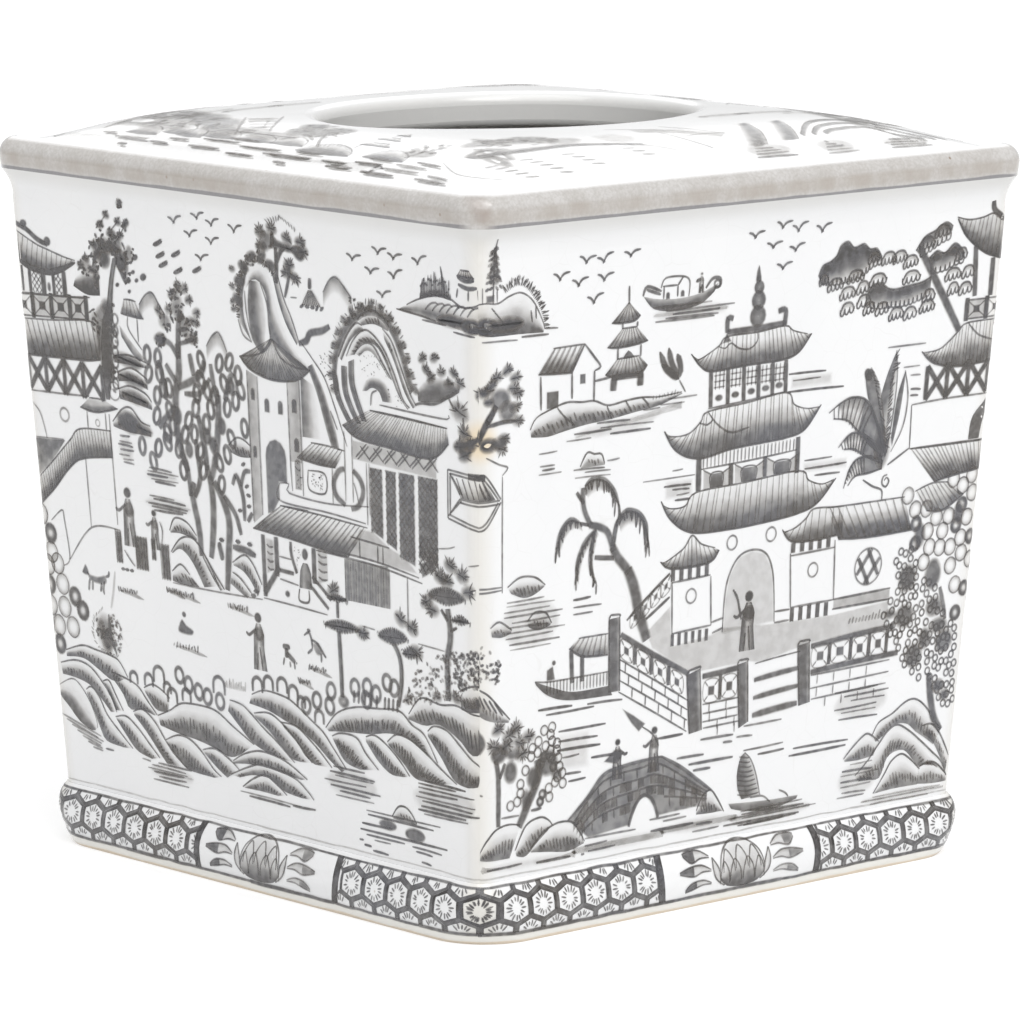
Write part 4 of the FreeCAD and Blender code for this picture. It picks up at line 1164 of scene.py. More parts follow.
def paintShore():
    paintLoopPlants([(-42.3, 38.2, 1.3), (-37, 38.4, 1.4), (-33.3, 40, 1.8), (-29, 36.2, 1.6),
            (-24, 37, 1.4), (-30.6, 37.6, 1.2), (0.7, 42.6, 1.6), (4.4, 43.4, 1.5), (9, 43.6, 1.6),
            (12.6, 42.6, 1.5), (-12.5, 40.6, 1.9), (21, 38.8, 1.4), (15.2, 41, 1.2)])
    for u, v in ((-26, 41), (-23, 39.4), (-19.6, 38.4), (-16.6, 37.8), (-12.4, 37.4), (16.8, 40.6),
            (20.4, 42.2), (25.2, 44.8), (24.6, 41.6), (33, 46.6), (37, 47.2), (39.8, 46.2), (43.4, 49),
            (45.6, 48.2), (36.6, 44.6)):
        ring(u, v, 1.35, 1.6, 1.0, 0.54, hand.uniform(-20, 20))
    for u in (32.6, 34, 36, 38, 39.8, 42.4, 43.6, 45, 46.4):
        line([(u, 43.4), (u + 0.2, 46)], 0.9, 0.5)
    # left ridge, lobe over lobe
    folds = [([(-66, 41), (-60, 42.7), (-55, 42.4), (-50, 41.9), (-47, 41), (-44.4, 38)],
              [(-66, 39.6), (-60, 40), (-55, 38.4), (-51, 36.8), (-48, 36.6)]),
             ([(-68.4, 38), (-63, 39.2), (-58, 38.6), (-54, 36), (-51, 33), (-49.4, 30)],
              [(-68, 35.6), (-63, 35.4), (-58, 34.4), (-54.4, 32), (-51.6, 29.8)]),
             ([(-60, 33.4), (-58, 34.2), (-55.4, 32.4), (-53, 29), (-49, 26), (-44.6, 23)],
              [(-59.6, 32.4), (-57.6, 29), (-56, 26), (-54, 23.4), (-48, 22.8)]),
             ([(-53.6, 36), (-51.4, 36.4), (-49.4, 33.8), (-47, 30.6)],
              [(-53, 35.4), (-51.6, 33.6), (-49.8, 30.4)]),
             ([(-50, 38.4), (-45, 37.7), (-41, 36.6), (-38, 34), (-34.8, 31.4)],
              [(-49.6, 36.8), (-46.4, 34), (-44.6, 31.4), (-40, 31.8), (-36, 31.2)]),
             ([(-50, 29), (-46, 29.6), (-42, 27.6), (-38, 24.6), (-35, 22.4)],
              [(-49.6, 28.4), (-46.4, 25.4), (-43, 22.8), (-38, 21.8)]),
             ([(-43.4, 31), (-40, 31.9), (-36, 30), (-32, 26), (-29, 23.6), (-25.4, 21.6)],
              [(-43, 30.2), (-39, 27.2), (-35, 23.6), (-32.6, 21.6)]),
             ([(-39, 36.6), (-36, 37.7), (-33, 37.1), (-30, 35.6)],
              [(-38.4, 35.6), (-35, 32.6), (-31, 32.6)]),
             ([(-34.6, 31.4), (-30, 33.2), (-26, 35.1), (-20, 35.6), (-14, 35.2), (-8, 32.6), (-1.4, 30)],
              [(-34, 29.4), (-28, 28.6), (-22, 28.2), (-16, 27.4), (-10, 26.2), (-6, 27.4)]),
             ([(-32.4, 26.6), (-28, 28.2), (-24, 28), (-20, 26), (-16, 22.8), (-13.4, 21.6)],
              [(-32, 25.8), (-28.6, 23.4), (-25, 21.4), (-16, 21)]),
             ([(-19.4, 26.4), (-15, 27.2), (-10, 25.6), (-7, 24)],
              [(-18.6, 25.6), (-15, 23.4), (-11.4, 21.7)])]
    # right ridge and its low point
    folds += [([(-1.4, 40.4), (3, 41.8), (10, 41.4), (14, 40), (18, 38), (22, 36), (25, 33.4),
                (29.4, 29.4)], [(-2.4, 38.4), (4, 37.8), (9, 36.6), (14, 35.4), (19, 33.4), (24, 30.4),
            (27.8, 28.6)]), ([(-9, 38.2), (-5, 37.8), (-2, 36.4), (2, 34), (6, 32), (10, 29.6),
            (12.2, 28.2)], [(-9.8, 35.8), (-6, 33), (-2, 30.4), (3, 29), (8, 28.4)]),
              ([(-1, 36.6), (4, 37.3), (8, 36), (12, 33.6), (16, 30.6), (18, 29)],
               [(-0.4, 35.8), (4, 33.6), (8, 31), (11, 29), (14, 28.7)]),
              ([(8, 36), (13, 35.9), (17, 34), (21, 31.6), (24.6, 29)],
               [(9, 35), (13, 32.6), (16, 30), (19, 28.8)]),
              ([(-9, 25.6), (-5, 27.6), (0, 28.9), (5, 28.8), (10, 27.8), (16.2, 25.3)],
               [(-9, 25), (-4, 25.6), (2, 25.8), (8, 25.4), (14, 25)]),
              ([(-10, 22.6), (-5, 24.6), (0, 26.1), (5, 26), (12, 25), (16, 23), (18.2, 21.4)],
               [(-7, 22.4), (-2, 23.6), (4, 23.6), (8, 21.8), (14, 21.2)]),
              ([(-6.2, 20.6), (-2, 23), (2, 24.1), (6, 22.6), (9, 21)], [(-5, 20.5), (0, 20.6), (6, 20.5)]),
              ([(23, 37), (27, 40.6), (33, 42.6), (40, 43.3), (47, 43.8), (51, 41.6), (55, 40), (59, 35)],
               [(24, 36.4), (29, 37), (34, 37.4), (38, 37.8), (44, 38.8), (50, 38.4), (55, 36.4)]),
              ([(25, 35.6), (28, 36.6), (33, 36.4), (36, 33.6), (40, 30.8)],
               [(25.6, 34.6), (29, 31), (34, 30)]),
              ([(36, 37), (39, 37.7), (43, 36.2), (47, 33.6), (50, 31)],
               [(36.2, 36), (40, 32.6), (44, 30.6), (48, 30.6)]),
              ([(43, 37), (46, 38.9), (50, 38.6), (55, 36.6), (60, 34), (65, 31.6)],
               [(43.4, 36.4), (48, 33.4), (52, 30.8), (59, 30.8)]),
              ([(56, 41), (58, 42.3), (62, 42), (66, 39.6), (70, 37), (73.4, 35.4)],
               [(56, 40), (60, 36.4), (64, 32.4), (68, 31.4), (71.4, 31.8)]),
              ([(50, 43.6), (54, 47.4), (60, 46.9), (65, 47.4), (70, 46.3), (74, 45.9)],
               [(50, 42.6), (55, 42), (60, 42.8), (66, 40.6), (70, 38), (74, 39)]),
              ([(66, 50.4), (70, 51.9), (74, 51.6)], [(66.6, 46.8), (70, 46.6), (74, 46.8)])]
    for top, bottom in folds:
        lobe(top, bottom, 0.72)
    shade([(-69, 33.6), (-65, 35), (-62, 34), (-59, 31), (-57.2, 27.6), (-57, 25.6)],
          [(-70, 31), (-67, 29), (-63.6, 26.4), (-60, 25), (-58, 25)], (0.02, 0.03, 0.1, 0.5, 0.7))
    line([(-70, 33), (-65, 35), (-62, 34), (-59, 31), (-57.2, 27.6), (-57, 25.6)], 0.4, 0.45)
    for top, bottom in folds[-7:]:
        upper, lower = even(curve(top), 22), even(curve(bottom), 22)
        for a, b in list(zip(upper, lower))[2:20]:
            line([a.lerp(b, hand.uniform(0.35, 0.5)), a.lerp(b, 0.85) + Vector((0.6, 0))], 0.4, 0.4)
    # water
    for number in range(7):
        line([(-70 + number * 1.8, 27 - number * 0.95), (-56 + hand.uniform(-1.5, 1), 24 - number * 0.5)],
             0.55, 0.4)
    rippled(-39, -23, 17.8, 21.2, 6)
    waterLines([(-7, 14, 19.6), (-4, 10, 19), (10.8, 18.6, 19.2), (-54.6, -51.6, 21.6),
                (-41.4, -38.4, 21.4)])
    rippled(22.4, 39.6, 23.8, 29.4, 7, 0.6)
    rippled(50.6, 71, 24, 30.8, 9, 0.62)
    blot(42.5, 20, 3.1, 1.3, 0.62, 0.6)
    blot(51.4, 19.2, 3.5, 1.6, 0.62, 0.6)
    lobe([(44, 22), (46, 24.2), (48.4, 24.5), (50.4, 23.4), (52, 21.6)],
         [(44.4, 21.6), (48, 21.4), (52, 21.4)], 0.6)
    waterLines([(35.6, 59.6, 22), (36, 57.4, 21.2), (34, 44, 19.2), (33.4, 61.8, 17.9), (35.4, 48, 17),
                (50.4, 60, 16.8), (38, 43.4, 16.2), (51.6, 57, 16), (33, 34.4, 15.7), (34.6, 37, 14.8),
                (37.4, 42.6, 14), (53.4, 56.6, 14.1)], 0.42, 0.6)


def paintEdgeLine():  # above the belt
    wander(-72, 72, 13.2, 0.4, 0.2)


def paintGardenSide():
    freshPaper()
    paintTerraceSky()
    paintTallRock()
    paintArchRock()
    paintTower()
    paintLoopTree()
    paintMeadow()
    paintShore()
    paintEdgeLine()


# the painting on the front and back sides

def block(left, right, low, high, ink=0.66, feather=0.25):
    wash([(left, low), (right, low), (right, high), (left, high)], ink, feather, False)


def paintPagodaSky():
    # islet round the corner, with its spruce
    shore = [(-74, 126.6), (-70, 127), (-67, 126.8), (-64, 128), (-61, 128.4), (-58, 126.5), (-55.6, 122.6),
             (-55, 120.8)]
    shade(shore, [(-74, 122), (-70, 120.6), (-66, 120.4), (-62, 120.4), (-55.4, 120.2)],
          (0.02, 0.06, 0.25, 0.6, 0.7))
    line(shore, 0.45, 0.5)
    needles([(-55, 121), (-56, 124.6), (-59, 128.6), (-62, 130), (-65.4, 128.6)], 2.0, 0.6, 0.4, 180)
    needles([(-65, 129.4), (-62, 131), (-58.6, 129.2), (-55.4, 124.6)], 1.2, 0.5, 0.6)
    lines([[(-68.6, 126), (-67, 124.4), (-65, 122.2)], [(-58.6, 124.8), (-58.2, 122.4)],
           [(-57.4, 125.6), (-57.2, 123)]], 0.45, 0.5)
    blot(-70, 122.4, 3.2, 2.0, 0.9, 1.1)
    blot(-71, 121.6, 2, 1.0, 1.0, 0.8)
    blot(-65, 122.6, 5, 1.8, 0.5, 1.2)
    wash([(-67.8, 138), (-69.4, 131), (-66.4, 131)], 0.4, 0.5)
    line([(-68.2, 126.8), (-68, 133), (-67.6, 139.4)], 0.5, 0.5)
    for number in range(8):
        v, wide = 137.4 - number * 1.05, 0.7 + number * 0.2
        for way in (-1, 1):
            for part in (0.35, 0.8):
                dab(-68 + way * wide * part, v + hand.uniform(-0.5, 0.3), 1.2, -way * 35, 0.7,
                    hand.uniform(0.3, 0.66))
    block(-70, -67.8, 127, 128.6, 0.62, 0.4)
    lines([[(-70.8, 130), (-70.8, 127)], [(-67.2, 129.6), (-67.2, 127)]], 0.4, 0.45)
    waterLines([(-71, -62, 119.5), (-61, -54, 119.8), (-55, -51.6, 120.9)])
    # bent tree below it
    line([(-74, 98.6), (-72, 100.6), (-70, 103.4), (-67.4, 107)], 1.7, 0.9, 0.8)
    lines([[(-70, 103), (-66, 103.6), (-62, 103.6)], [(-69.4, 104), (-68, 106)]], 1.0, 0.7, 0.4)
    inkBlots(((-66.4, 108, 3.0, 2.6, 0.5), (-64.4, 105.6, 2.8, 2.4, 0.46), (-69.4, 99.4, 2.8, 1.8, 0.8),
                                  (-66.6, 99.6, 2.4, 1.6, 0.56), (-69.4, 107.8, 1.6, 1.2, 0.7)), 1.1)
    tufts(((-70.8, 109.6, 130), (-69.6, 110, 100), (-67.4, 112.4, 90), (-64.6, 113.6, 60), (-62.4, 112, 30),
           (-63, 110, 30), (-62.4, 106.4, 10), (-61.8, 103.6, 0), (-65.4, 100.4, 10), (-68.6, 111, 100),
           (-61.8, 109, 0), (-66, 98.4, -20)), 2.0, 0.62, 6, 170)
    birds(((-51.2, 130.2), (-44.5, 133), (-40, 132.8), (-33, 133.4), (-46.4, 128.7), (-39.8, 129.2),
           (-42.4, 125), (0, 134.4), (7.3, 135.8), (11.7, 134.8), (18.3, 134.2), (5, 132), (11.2, 130.9),
           (8, 127.5)))
    # little pagoda
    roof([(-33.4, 124), (-32.9, 124)], [(-37.6, 120.4), (-35, 120.2), (-31.6, 120.4), (-30, 121.4)], 9,
         0.62, 0.3)
    roof([(-34.8, 119.1), (-30.8, 119.2)], [(-38.6, 115.7), (-36, 115.4), (-31, 115.7), (-27.8, 116.2)], 12,
         0.6, 0.2)
    roof([(-36, 113.2), (-30, 113.4)], [(-39, 110.4), (-37, 109.8), (-30, 109.8), (-27.8, 111.4)], 14, 0.7,
         0.25)
    lines([[(-33.2, 127.4), (-33.1, 124)], [(-34.7, 120.2), (-34.7, 119)], [(-30.8, 120.2), (-30.8, 119.2)],
           [(-35.8, 115.4), (-35.8, 113)], [(-29.7, 115.6), (-29.7, 113.2)]], 0.6, 0.55)
    shade([(-34.3, 113.4), (-33, 114.7), (-31.6, 113.6)], [(-34.2, 113.1), (-31.6, 113.2)], (0.6, 0.5))
    block(-37.4, -28.8, 108.9, 110.3, 0.66)
    lines([[(-36.6, 110), (-36.8, 107)], [(-29.6, 110), (-29.6, 107.4)]], 1.9, 0.66, 0.9)
    # house on the island
    roof([(-52.8, 116.8), (-44.6, 117)], [(-56.6, 112), (-47.6, 111.6)], 9, 0.66, 0.06, 0.8, 0, 0.55)
    lines([[(-44.6, 117), (-42, 114.2), (-40.3, 112.2), (-41.8, 111.5)], [(-44.6, 117), (-47.7, 112)],
           [(-56, 111.6), (-55.8, 105)], [(-47.8, 111.6), (-47.7, 106.5)], [(-41.9, 111.5), (-41.9, 105.4)],
           [(-41.8, 109.4), (-37.6, 109.8)]], 0.6, 0.62)
    block(-54.4, -51.2, 105, 108.5, 0.66)
    block(-45.7, -44.1, 109.1, 111.2, 0.62)
    lobe([(-58.6, 101.4), (-57, 103.6), (-53, 105), (-49, 105.9), (-45, 105.6), (-41.6, 105.5),
          (-38, 104.3), (-33, 104.8), (-29, 105), (-24, 104.7), (-18.2, 105.1)],
         [(-58.3, 99.9), (-54, 99.6), (-50, 100.2), (-44, 101), (-37, 101.5), (-31, 102.2), (-24, 103),
          (-18, 104.7)], 0.66)
    lines([[(-51.5, 105), (-49.4, 103), (-46.8, 101.2)], [(-38.4, 104.2), (-37, 101.5)],
           [(-33.4, 104.7), (-31.6, 102.4)], [(-29, 105), (-27, 103.3)]], 0.5, 0.55)
    needles([(-26, 104.2), (-22, 104.6), (-18.6, 104.8)], 1.2, 0.45, 0.7)
    wash([(-46, 98), (-30, 98.6), (-22, 101.6), (-18, 102.6), (-30, 101.8), (-44, 100.6)], 0.09, 0.8)
    waterLines([(-47, -37, 99.4), (-49, -42.4, 98.2), (-37.4, -26.4, 98.6), (-41, -32, 101),
                (-40, -25.6, 100), (-28.6, -24, 102.4), (-56.3, -51.4, 96.4), (-56, -52, 93.9),
                (-55.4, -52, 93.1), (-56.3, -50.2, 92.3), (-47, -38.6, 92.3), (-44, -37, 91.6),
                (-46.6, -37, 90.7), (-38, -34.6, 93.3), (-22, -14, 104), (-24, -17.4, 103)])
    lobe([(-45.2, 92.8), (-43.4, 95.4), (-41.4, 95), (-39.5, 94.8), (-38.6, 92.8)],
         [(-45, 92.5), (-38.6, 92.6)], 0.5)
    for path in ([(-19, 107.8), (-22.4, 110), (-24.6, 113.6)],
            [(-19.2, 108.2), (-21.2, 111), (-22.2, 114.2)], [(-18.8, 108), (-18.9, 110.6), (-19.9, 112.8)],
            [(-19, 107.8), (-21, 108.8), (-24, 111)]):
        line(path, 1.7, 0.6, 0.2)
    line([(-19, 107.5), (-17.2, 105)], 0.5, 0.5)
    # junk
    shade([(-29.5, 125), (-26, 124.2), (-20, 123.8), (-14, 124.4), (-9.4, 126)],
          [(-28.4, 123.8), (-26, 122), (-20, 121.4), (-14, 122.2), (-10.4, 124.4)],
          (0.25, 0.45, 0.66, 0.66))
    lines([[(-29.5, 125), (-28.4, 126.8), (-24.6, 125.6)], [(-28.6, 126.2), (-24.8, 125)],
           [(-12.8, 125.2), (-11, 127), (-9, 126.9), (-9, 125.4), (-10.6, 125)]], 0.8, 0.62)
    lines([[(-24.8, 126.2), (-23.6, 128.1), (-19, 128.1), (-17.2, 127), (-17.3, 124)],
           [(-24.4, 126.5), (-20.4, 126.5)], [(-24, 126.5), (-24, 124)], [(-20.3, 126.4), (-20.3, 124.2)],
           [(-20.3, 126.4), (-19, 128)]], 0.5, 0.55)
    archedWindow(-22.9, 123.8, 1.2, 1.6)
    archedWindow(-19, 124, 1.2, 1.5)
    person(-14, 124.4, 4.2, -1)
    ring(-9.7, 125.9, 0.8, 0.7, 0.6, 0.5)
    rippled(-27, -6, 119.4, 122.4, 5, 0.42)


def paintBigPagoda():
    wash([(0.8, 125.3), (0.9, 127.6), (1.5, 128.7), (2, 127.4), (2.3, 125.3)], 0.68, 0.3)
    for v, size in ((124.2, 1.5), (121.6, 2.1), (118.4, 2.4)):
        disc(1.8, v, size, inks=(0.4, 0.45, 0.55, 0.62, 0.62, 0.0))
    lines([[(-6.5, 115.9), (2, 116), (9.6, 116.4)], [(-6.4, 115.8), (-6.4, 118.6), (-4.9, 118.5)],
           [(9.4, 116), (9.4, 119), (7.4, 118.9)]], 1.4, 0.66, 0.9)
    roof([(-14.6, 110.8), (-12, 111.7), (-8.4, 113.4), (-6.4, 115), (2, 115.2), (9.6, 115.8), (12, 114.6),
          (16, 113.6)], [(-16, 112.4), (-13.5, 109.8), (-10.5, 108.4), (-4, 108.6), (2, 108.8), (10, 109),
            (14, 110.2), (17.2, 113.6)], 36, 0.66, 0.06)
    wash([(-7.8, 113.6), (-6.6, 115.8), (-4.9, 113.9)], 0.6, 0.3, False)
    line([(-8.6, 113.2), (-6.8, 112.7), (-5.2, 113.6), (-3, 112.4), (0, 112), (2, 113.4), (2, 115)], 0.45,
         0.5)
    for number, u in enumerate((-10.4, -5.7, -1.3, 2.8, 6.7, 10.4)):
        line([(u, 108.8), (u + 0.3, 101.2 + number * 0.24)], 1.3, 0.66, 0.9)
    for number, u in enumerate((-7.9, -3.4, 1, 5, 8.8)):
        blot(u, 102.9 + number * 0.25, 1.2, 0.8, 0.66, 0.4)
        for step in range(3):
            line([(u - 1.6, 105 + step * 1.2), (u + 1.5, 105.1 + step * 1.2)], 0.4, 0.4)
            line([(u - 1.1 + step * 1.1, 104.6), (u - 1.1 + step * 1.1, 108.4)], 0.45, 0.45)
    line([(-10.8, 101), (0, 101.6), (11, 102.4)], 0.5, 0.55)
    roof([(-21.6, 96.6), (-19, 96.2), (-15.5, 96.6), (-12.6, 98.6), (-10.8, 100.4), (0, 101.2), (11, 102.2),
          (13.4, 99.6), (17, 98.4), (20.6, 98.4)],
         [(-22.6, 97.6), (-20, 94), (-16, 91.8), (-11, 91.2), (-4, 92.2), (4, 92.6), (12, 93), (17, 94.2),
          (21.2, 98.8)], 50, 0.66, 0.08)
    lines([[(-13, 98.3), (-10.8, 97.8), (-9.3, 98.6)], [(-10.8, 100.4), (-8, 97.6), (-4, 95.6), (1, 96.2)]],
          0.5, 0.5)
    for number in range(25):
        u = -11.4 + number * 1.06
        line([(u, 89 + number * 0.05), (u, 91.8 + number * 0.03)], 0.45, 0.42)
    line([(-12, 88.9), (2, 89.4), (15, 90.2)], 0.5, 0.5)
    for u, low, high, width in ((-12.5, 84.6, 91.2, 1.7), (-3.4, 85, 89.3, 1.5), (6.2, 85.6, 89.8, 1.4),
            (15.4, 85.4, 92.8, 1.5)):
        line([(u, low), (u - 0.2, high)], width, 0.7, 0.9)
    for left, right, low, high in ((-9.2, -5.8, 84.9, 87.7), (-0.4, 3.6, 85.2, 88),
            (8.8, 13.2, 85.8, 88.3)):
        shade([(left, high), (right, high)], [(left, low), (right, low)], (0.4, 0.55, 0.7))
        for way, edge in ((-1, left), (1, right)):
            wash([(edge, low), (edge + way * 2, low - 0.2), (edge + way * 2.2, high + 1), (edge, high)],
                 0.2, 0.2, False)
            line([(edge, high), (edge + way * 2.2, high + 1)], 0.4, 0.45)
        line([(left, low), (left, high), (right, high), (right, low)], 0.4, 0.5)
    roof([(-22, 82.6), (-19.8, 81.8), (-16, 82), (-13, 84.4), (0, 85), (16, 85.8), (19, 83.6), (23, 82.4),
          (26.4, 83)], [(-22.8, 83.6), (-20, 79.6), (-14, 76.4), (-4, 75.9), (6, 76.2), (16, 77),
            (22, 78.6), (27, 83.2)], 46, 0.7, 0.12)
    waterLines([(11.4, 22, 105.8), (12.6, 20.6, 104.4), (11, 27.4, 102.2), (17.4, 25.4, 87.7),
                (17.6, 29.8, 86), (20.6, 28, 84.4), (-28, -13.6, 88), (-22.2, -14.6, 86.4),
                (-19.8, -15, 85.6), (-18.6, -15, 84.4), (-19, -14.6, 83.4), (-20, -17, 89.4)])
    for left, right, low, high in ((12, 24, 102.6, 105.4), (17, 30, 85, 87.4), (-22, -14, 83.6, 87.6)):
        block(left, right, low, high, 0.12, 0.9)


def paintGate():
    # paved court and garden walls
    wash([(-26, 57.6), (-19, 62.4), (-18.4, 54), (-7, 55), (-3.6, 56), (11.4, 55.2), (29, 55), (46, 56),
          (46, 50.6), (22, 49.6), (19, 49), (8, 47.4), (4, 48), (-9, 47.6), (-13, 48), (-24, 54)], 0.17,
         0.4, False)
    block(28.8, 46, 56, 58.4, 0.24)
    lines([[(28.6, 58), (46, 58.5)], [(28.6, 56), (46, 56.2)]], 0.6, 0.5)
    wash([(-3.8, 54.6), (-3.6, 62), (-2.6, 66.5), (0, 70), (3.8, 71), (7.6, 70), (9.8, 66.8), (10.8, 62),
          (11.4, 55.4)], 0.15, 0.5, False)
    line([(-3.8, 55), (-3.6, 62), (-2.6, 66.5), (0, 70), (3.8, 71), (7.6, 70), (9.8, 66.8), (10.8, 62),
          (11.4, 55.4)], 0.55, 0.5)
    person(3.6, 50.4, 12.4, -1, 0.7)
    line([(-1.2, 63.4), (0.2, 61.4), (1.6, 57)], 0.7, 0.62)
    for u, v in ((-2.2, 73.1), (9, 73.6), (-13.3, 63.5), (22, 64.9)):
        ring(u, v, 1.45, 1.45, 0.5, 0.42)
    lines([[(-7.2, 57.4), (-3.6, 58)], [(-6.8, 55.2), (-3.6, 56)], [(11.4, 57.5), (15.8, 57.5)],
           [(11.4, 55.2), (15.8, 55.3)], [(-18.9, 67), (-18.4, 56.3)], [(-7.9, 67), (-7.2, 56.9)],
           [(-18.9, 66.8), (-8, 67.2)], [(15, 69), (16, 57.8)], [(28, 70.4), (28.8, 58)],
           [(15.2, 68.5), (28, 68.9)], [(-18.4, 56.4), (-7.2, 56.9)], [(16, 57.8), (28.6, 58)]], 0.55, 0.5)
    for left, right, low, high, count in ((-19.4, -7.4, 67, 69.9, 5), (-18.8, -7, 53.8, 56.4, 6),
            (15, 28, 69, 71.2, 5), (15.9, 28.6, 54.8, 57.8, 5)):
        step = (right - left) / count
        for number in range(count):
            block(left + number * step, left + (number + 0.55) * step, low, high, 0.66, 0.2)
    roof([(-20.8, 71.2), (-16, 73.4), (-13.7, 75.8), (-11, 73.8), (-7, 72.6)],
         [(-22.4, 71.4), (-20, 69.8), (-14, 69.4), (-8, 69.9), (-5.8, 72)], 16, 0.62, 0.08)
    roof([(13, 73.6), (16, 74.2), (19, 75.8), (21, 77.5), (27, 77.3), (30, 77.2)],
         [(12.2, 74.2), (15, 71.5), (22, 71), (26, 71.2), (30, 71.4)], 12, 0.66, 0.1)
    roof([(25, 77.3), (34, 77.2), (48, 77.2)], [(29, 70.4), (38, 69.9), (51, 70)], 14, 0.84, 0.08, 0.6,
         0.03)
    ring(38.6, 63.8, 4, 3.8, 0.5, 0.42)
    for angle, ink in ((-58, 0.66), (50, 0.52)):  # its lattice
        along = Vector((math.cos(math.radians(angle)), math.sin(math.radians(angle))))
        for offset in (-1.6, 1.6):
            middle = Vector((38.6, 63.8)) + Vector((-along.y, along.x)) * offset
            line([middle - along * 3.3, middle + along * 3.3], 1.1, ink, 0.8)
    for number in range(12):
        line([(34 + number, 52.4), (34.4 + number, 53.4 + hand.uniform(0, 1))], 0.6, 0.35)
    # balustrades on brick
    def panel(u, v, wide, tall, slope=0.0):
        half = wide / 2
        corners = [(u - half, v - tall / 2 - half * slope), (u + half, v - tall / 2 + half * slope),
                   (u + half, v + tall / 2 + half * slope), (u - half, v + tall / 2 - half * slope)]
        for a, b in corners:
            line([(a, b), (u + (a - u) * 0.5, v + (b - v) * 0.5)], 0.4, 0.4)
        line(corners, 0.35, 0.3, closed=True)
        wash([(u + (a - u) * 0.5, v + (b - v) * 0.52) for a, b in corners], 0.66, 0.35, False)

    lines([[(-31.4, 60.6), (-26, 64.4), (-19.6, 68.8)], [(-26, 60.2), (-19.4, 64)]], 0.8, 0.6)
    for number in range(4):
        panel(-29 + number * 2.8, 61 + number * 1.75, 2.4, 2.8, 0.62)
    for left, right in (([(-36.4, 61.4), (-36, 46.6)], [(-33.4, 61.6), (-32.9, 46.6)]),
            ([(-13.6, 47.4), (-12.2, 35.2)], [(-9.8, 48.3), (-8.6, 35.6)]),
            ([(1.2, 47.8), (2.6, 34.6)], [(4.2, 48.2), (5.2, 35.6)]),
            ([(19, 49.6), (20.4, 37)], [(22.4, 50), (23.6, 37.4)])):
        shade(left, right, (0.66, 0.62, 0.6, 0.25))
        lines([left, right], 0.5, 0.6)
        cap = [Vector(left[0]) + Vector((0.4, 0.8)), Vector(right[0]) + Vector((0.2, 0.5))]
        lines([cap, [left[0], cap[0]], [right[0], cap[1]]], 0.55, 0.6)
    lines([[(-33, 58), (-25, 53.6), (-13, 47.6)], [(-9, 46.6), (-4, 46.8), (1.6, 47.2)],
           [(23, 49), (35, 49.8), (48, 50.4)], [(23.4, 43.6), (36, 44.2), (50, 44.6)]], 1.4, 0.68, 0.9)
    for u, v in ((-31.2, 54.4), (-26.4, 51.7), (-21.4, 49), (-16.4, 46.4)):
        panel(u, v, 3.2, 3.4, -0.52)
    for u, v, wide in ((-6.2, 43.4, 4), (-0.9, 43.7, 4), (26, 46.7, 4.4), (32, 47, 4.8), (38, 46.9, 4),
            (43.6, 47.2, 4)):
        panel(u, v, wide, 4)
    for u, low, high in ((-28.8, 51.4, 55.2), (-24, 48.8, 53), (-18.9, 46, 50), (-3.6, 41.2, 46.4),
            (28.8, 44.6, 49.2), (35.2, 44.8, 49.6), (40.8, 44.8, 49.8), (46.2, 44.8, 50)):
        line([(u, low), (u, high)], 1.2, 0.66, 0.9)
    for drop in (0, 2, 4.2, 6.6):  # slanting courses, then level ones
        line([(-33.2, 53 - drop), (-23, 47.6 - drop * 0.98), (-13, 42.2 - drop * 0.96)], 0.5, 0.55)
        for number in range(5 if drop < 6 else 0):
            u = -31.4 + number * 3.9 + drop * 0.5
            v = 53 - drop - (u + 33.2) * 0.53
            line([(u, v), (u, v - 2)], 0.45, 0.5)
    for left, right, low, rise in ((-8.6, 2, 40.8, 0.02), (-8.4, 2, 38.9, 0.02), (-8.4, 2, 37.2, 0.02),
            (-8.2, 2.4, 35.9, 0.02), (23.6, 47.6, 42.9, 0.02), (23.6, 47.6, 40.2, 0.03),
            (24, 47, 37.9, 0.03)):
        line([(left, low), (right, low + (right - left) * rise)], 0.5, 0.5)
        for number in range(int((right - left) / 5)):
            u = left + 2 + number * 5 + (2.4 if int(low) % 2 else 0)
            line([(u, low), (u, low - 1.9)], 0.45, 0.42)
    for low, width in ((47.4, 0.4), (44, 1.3), (40.3, 1.3), (36.7, 1.6)):
        line([(6.4, low), (12, low + 0.5), (19.8, low + 1)], width, 0.6, 0.7)


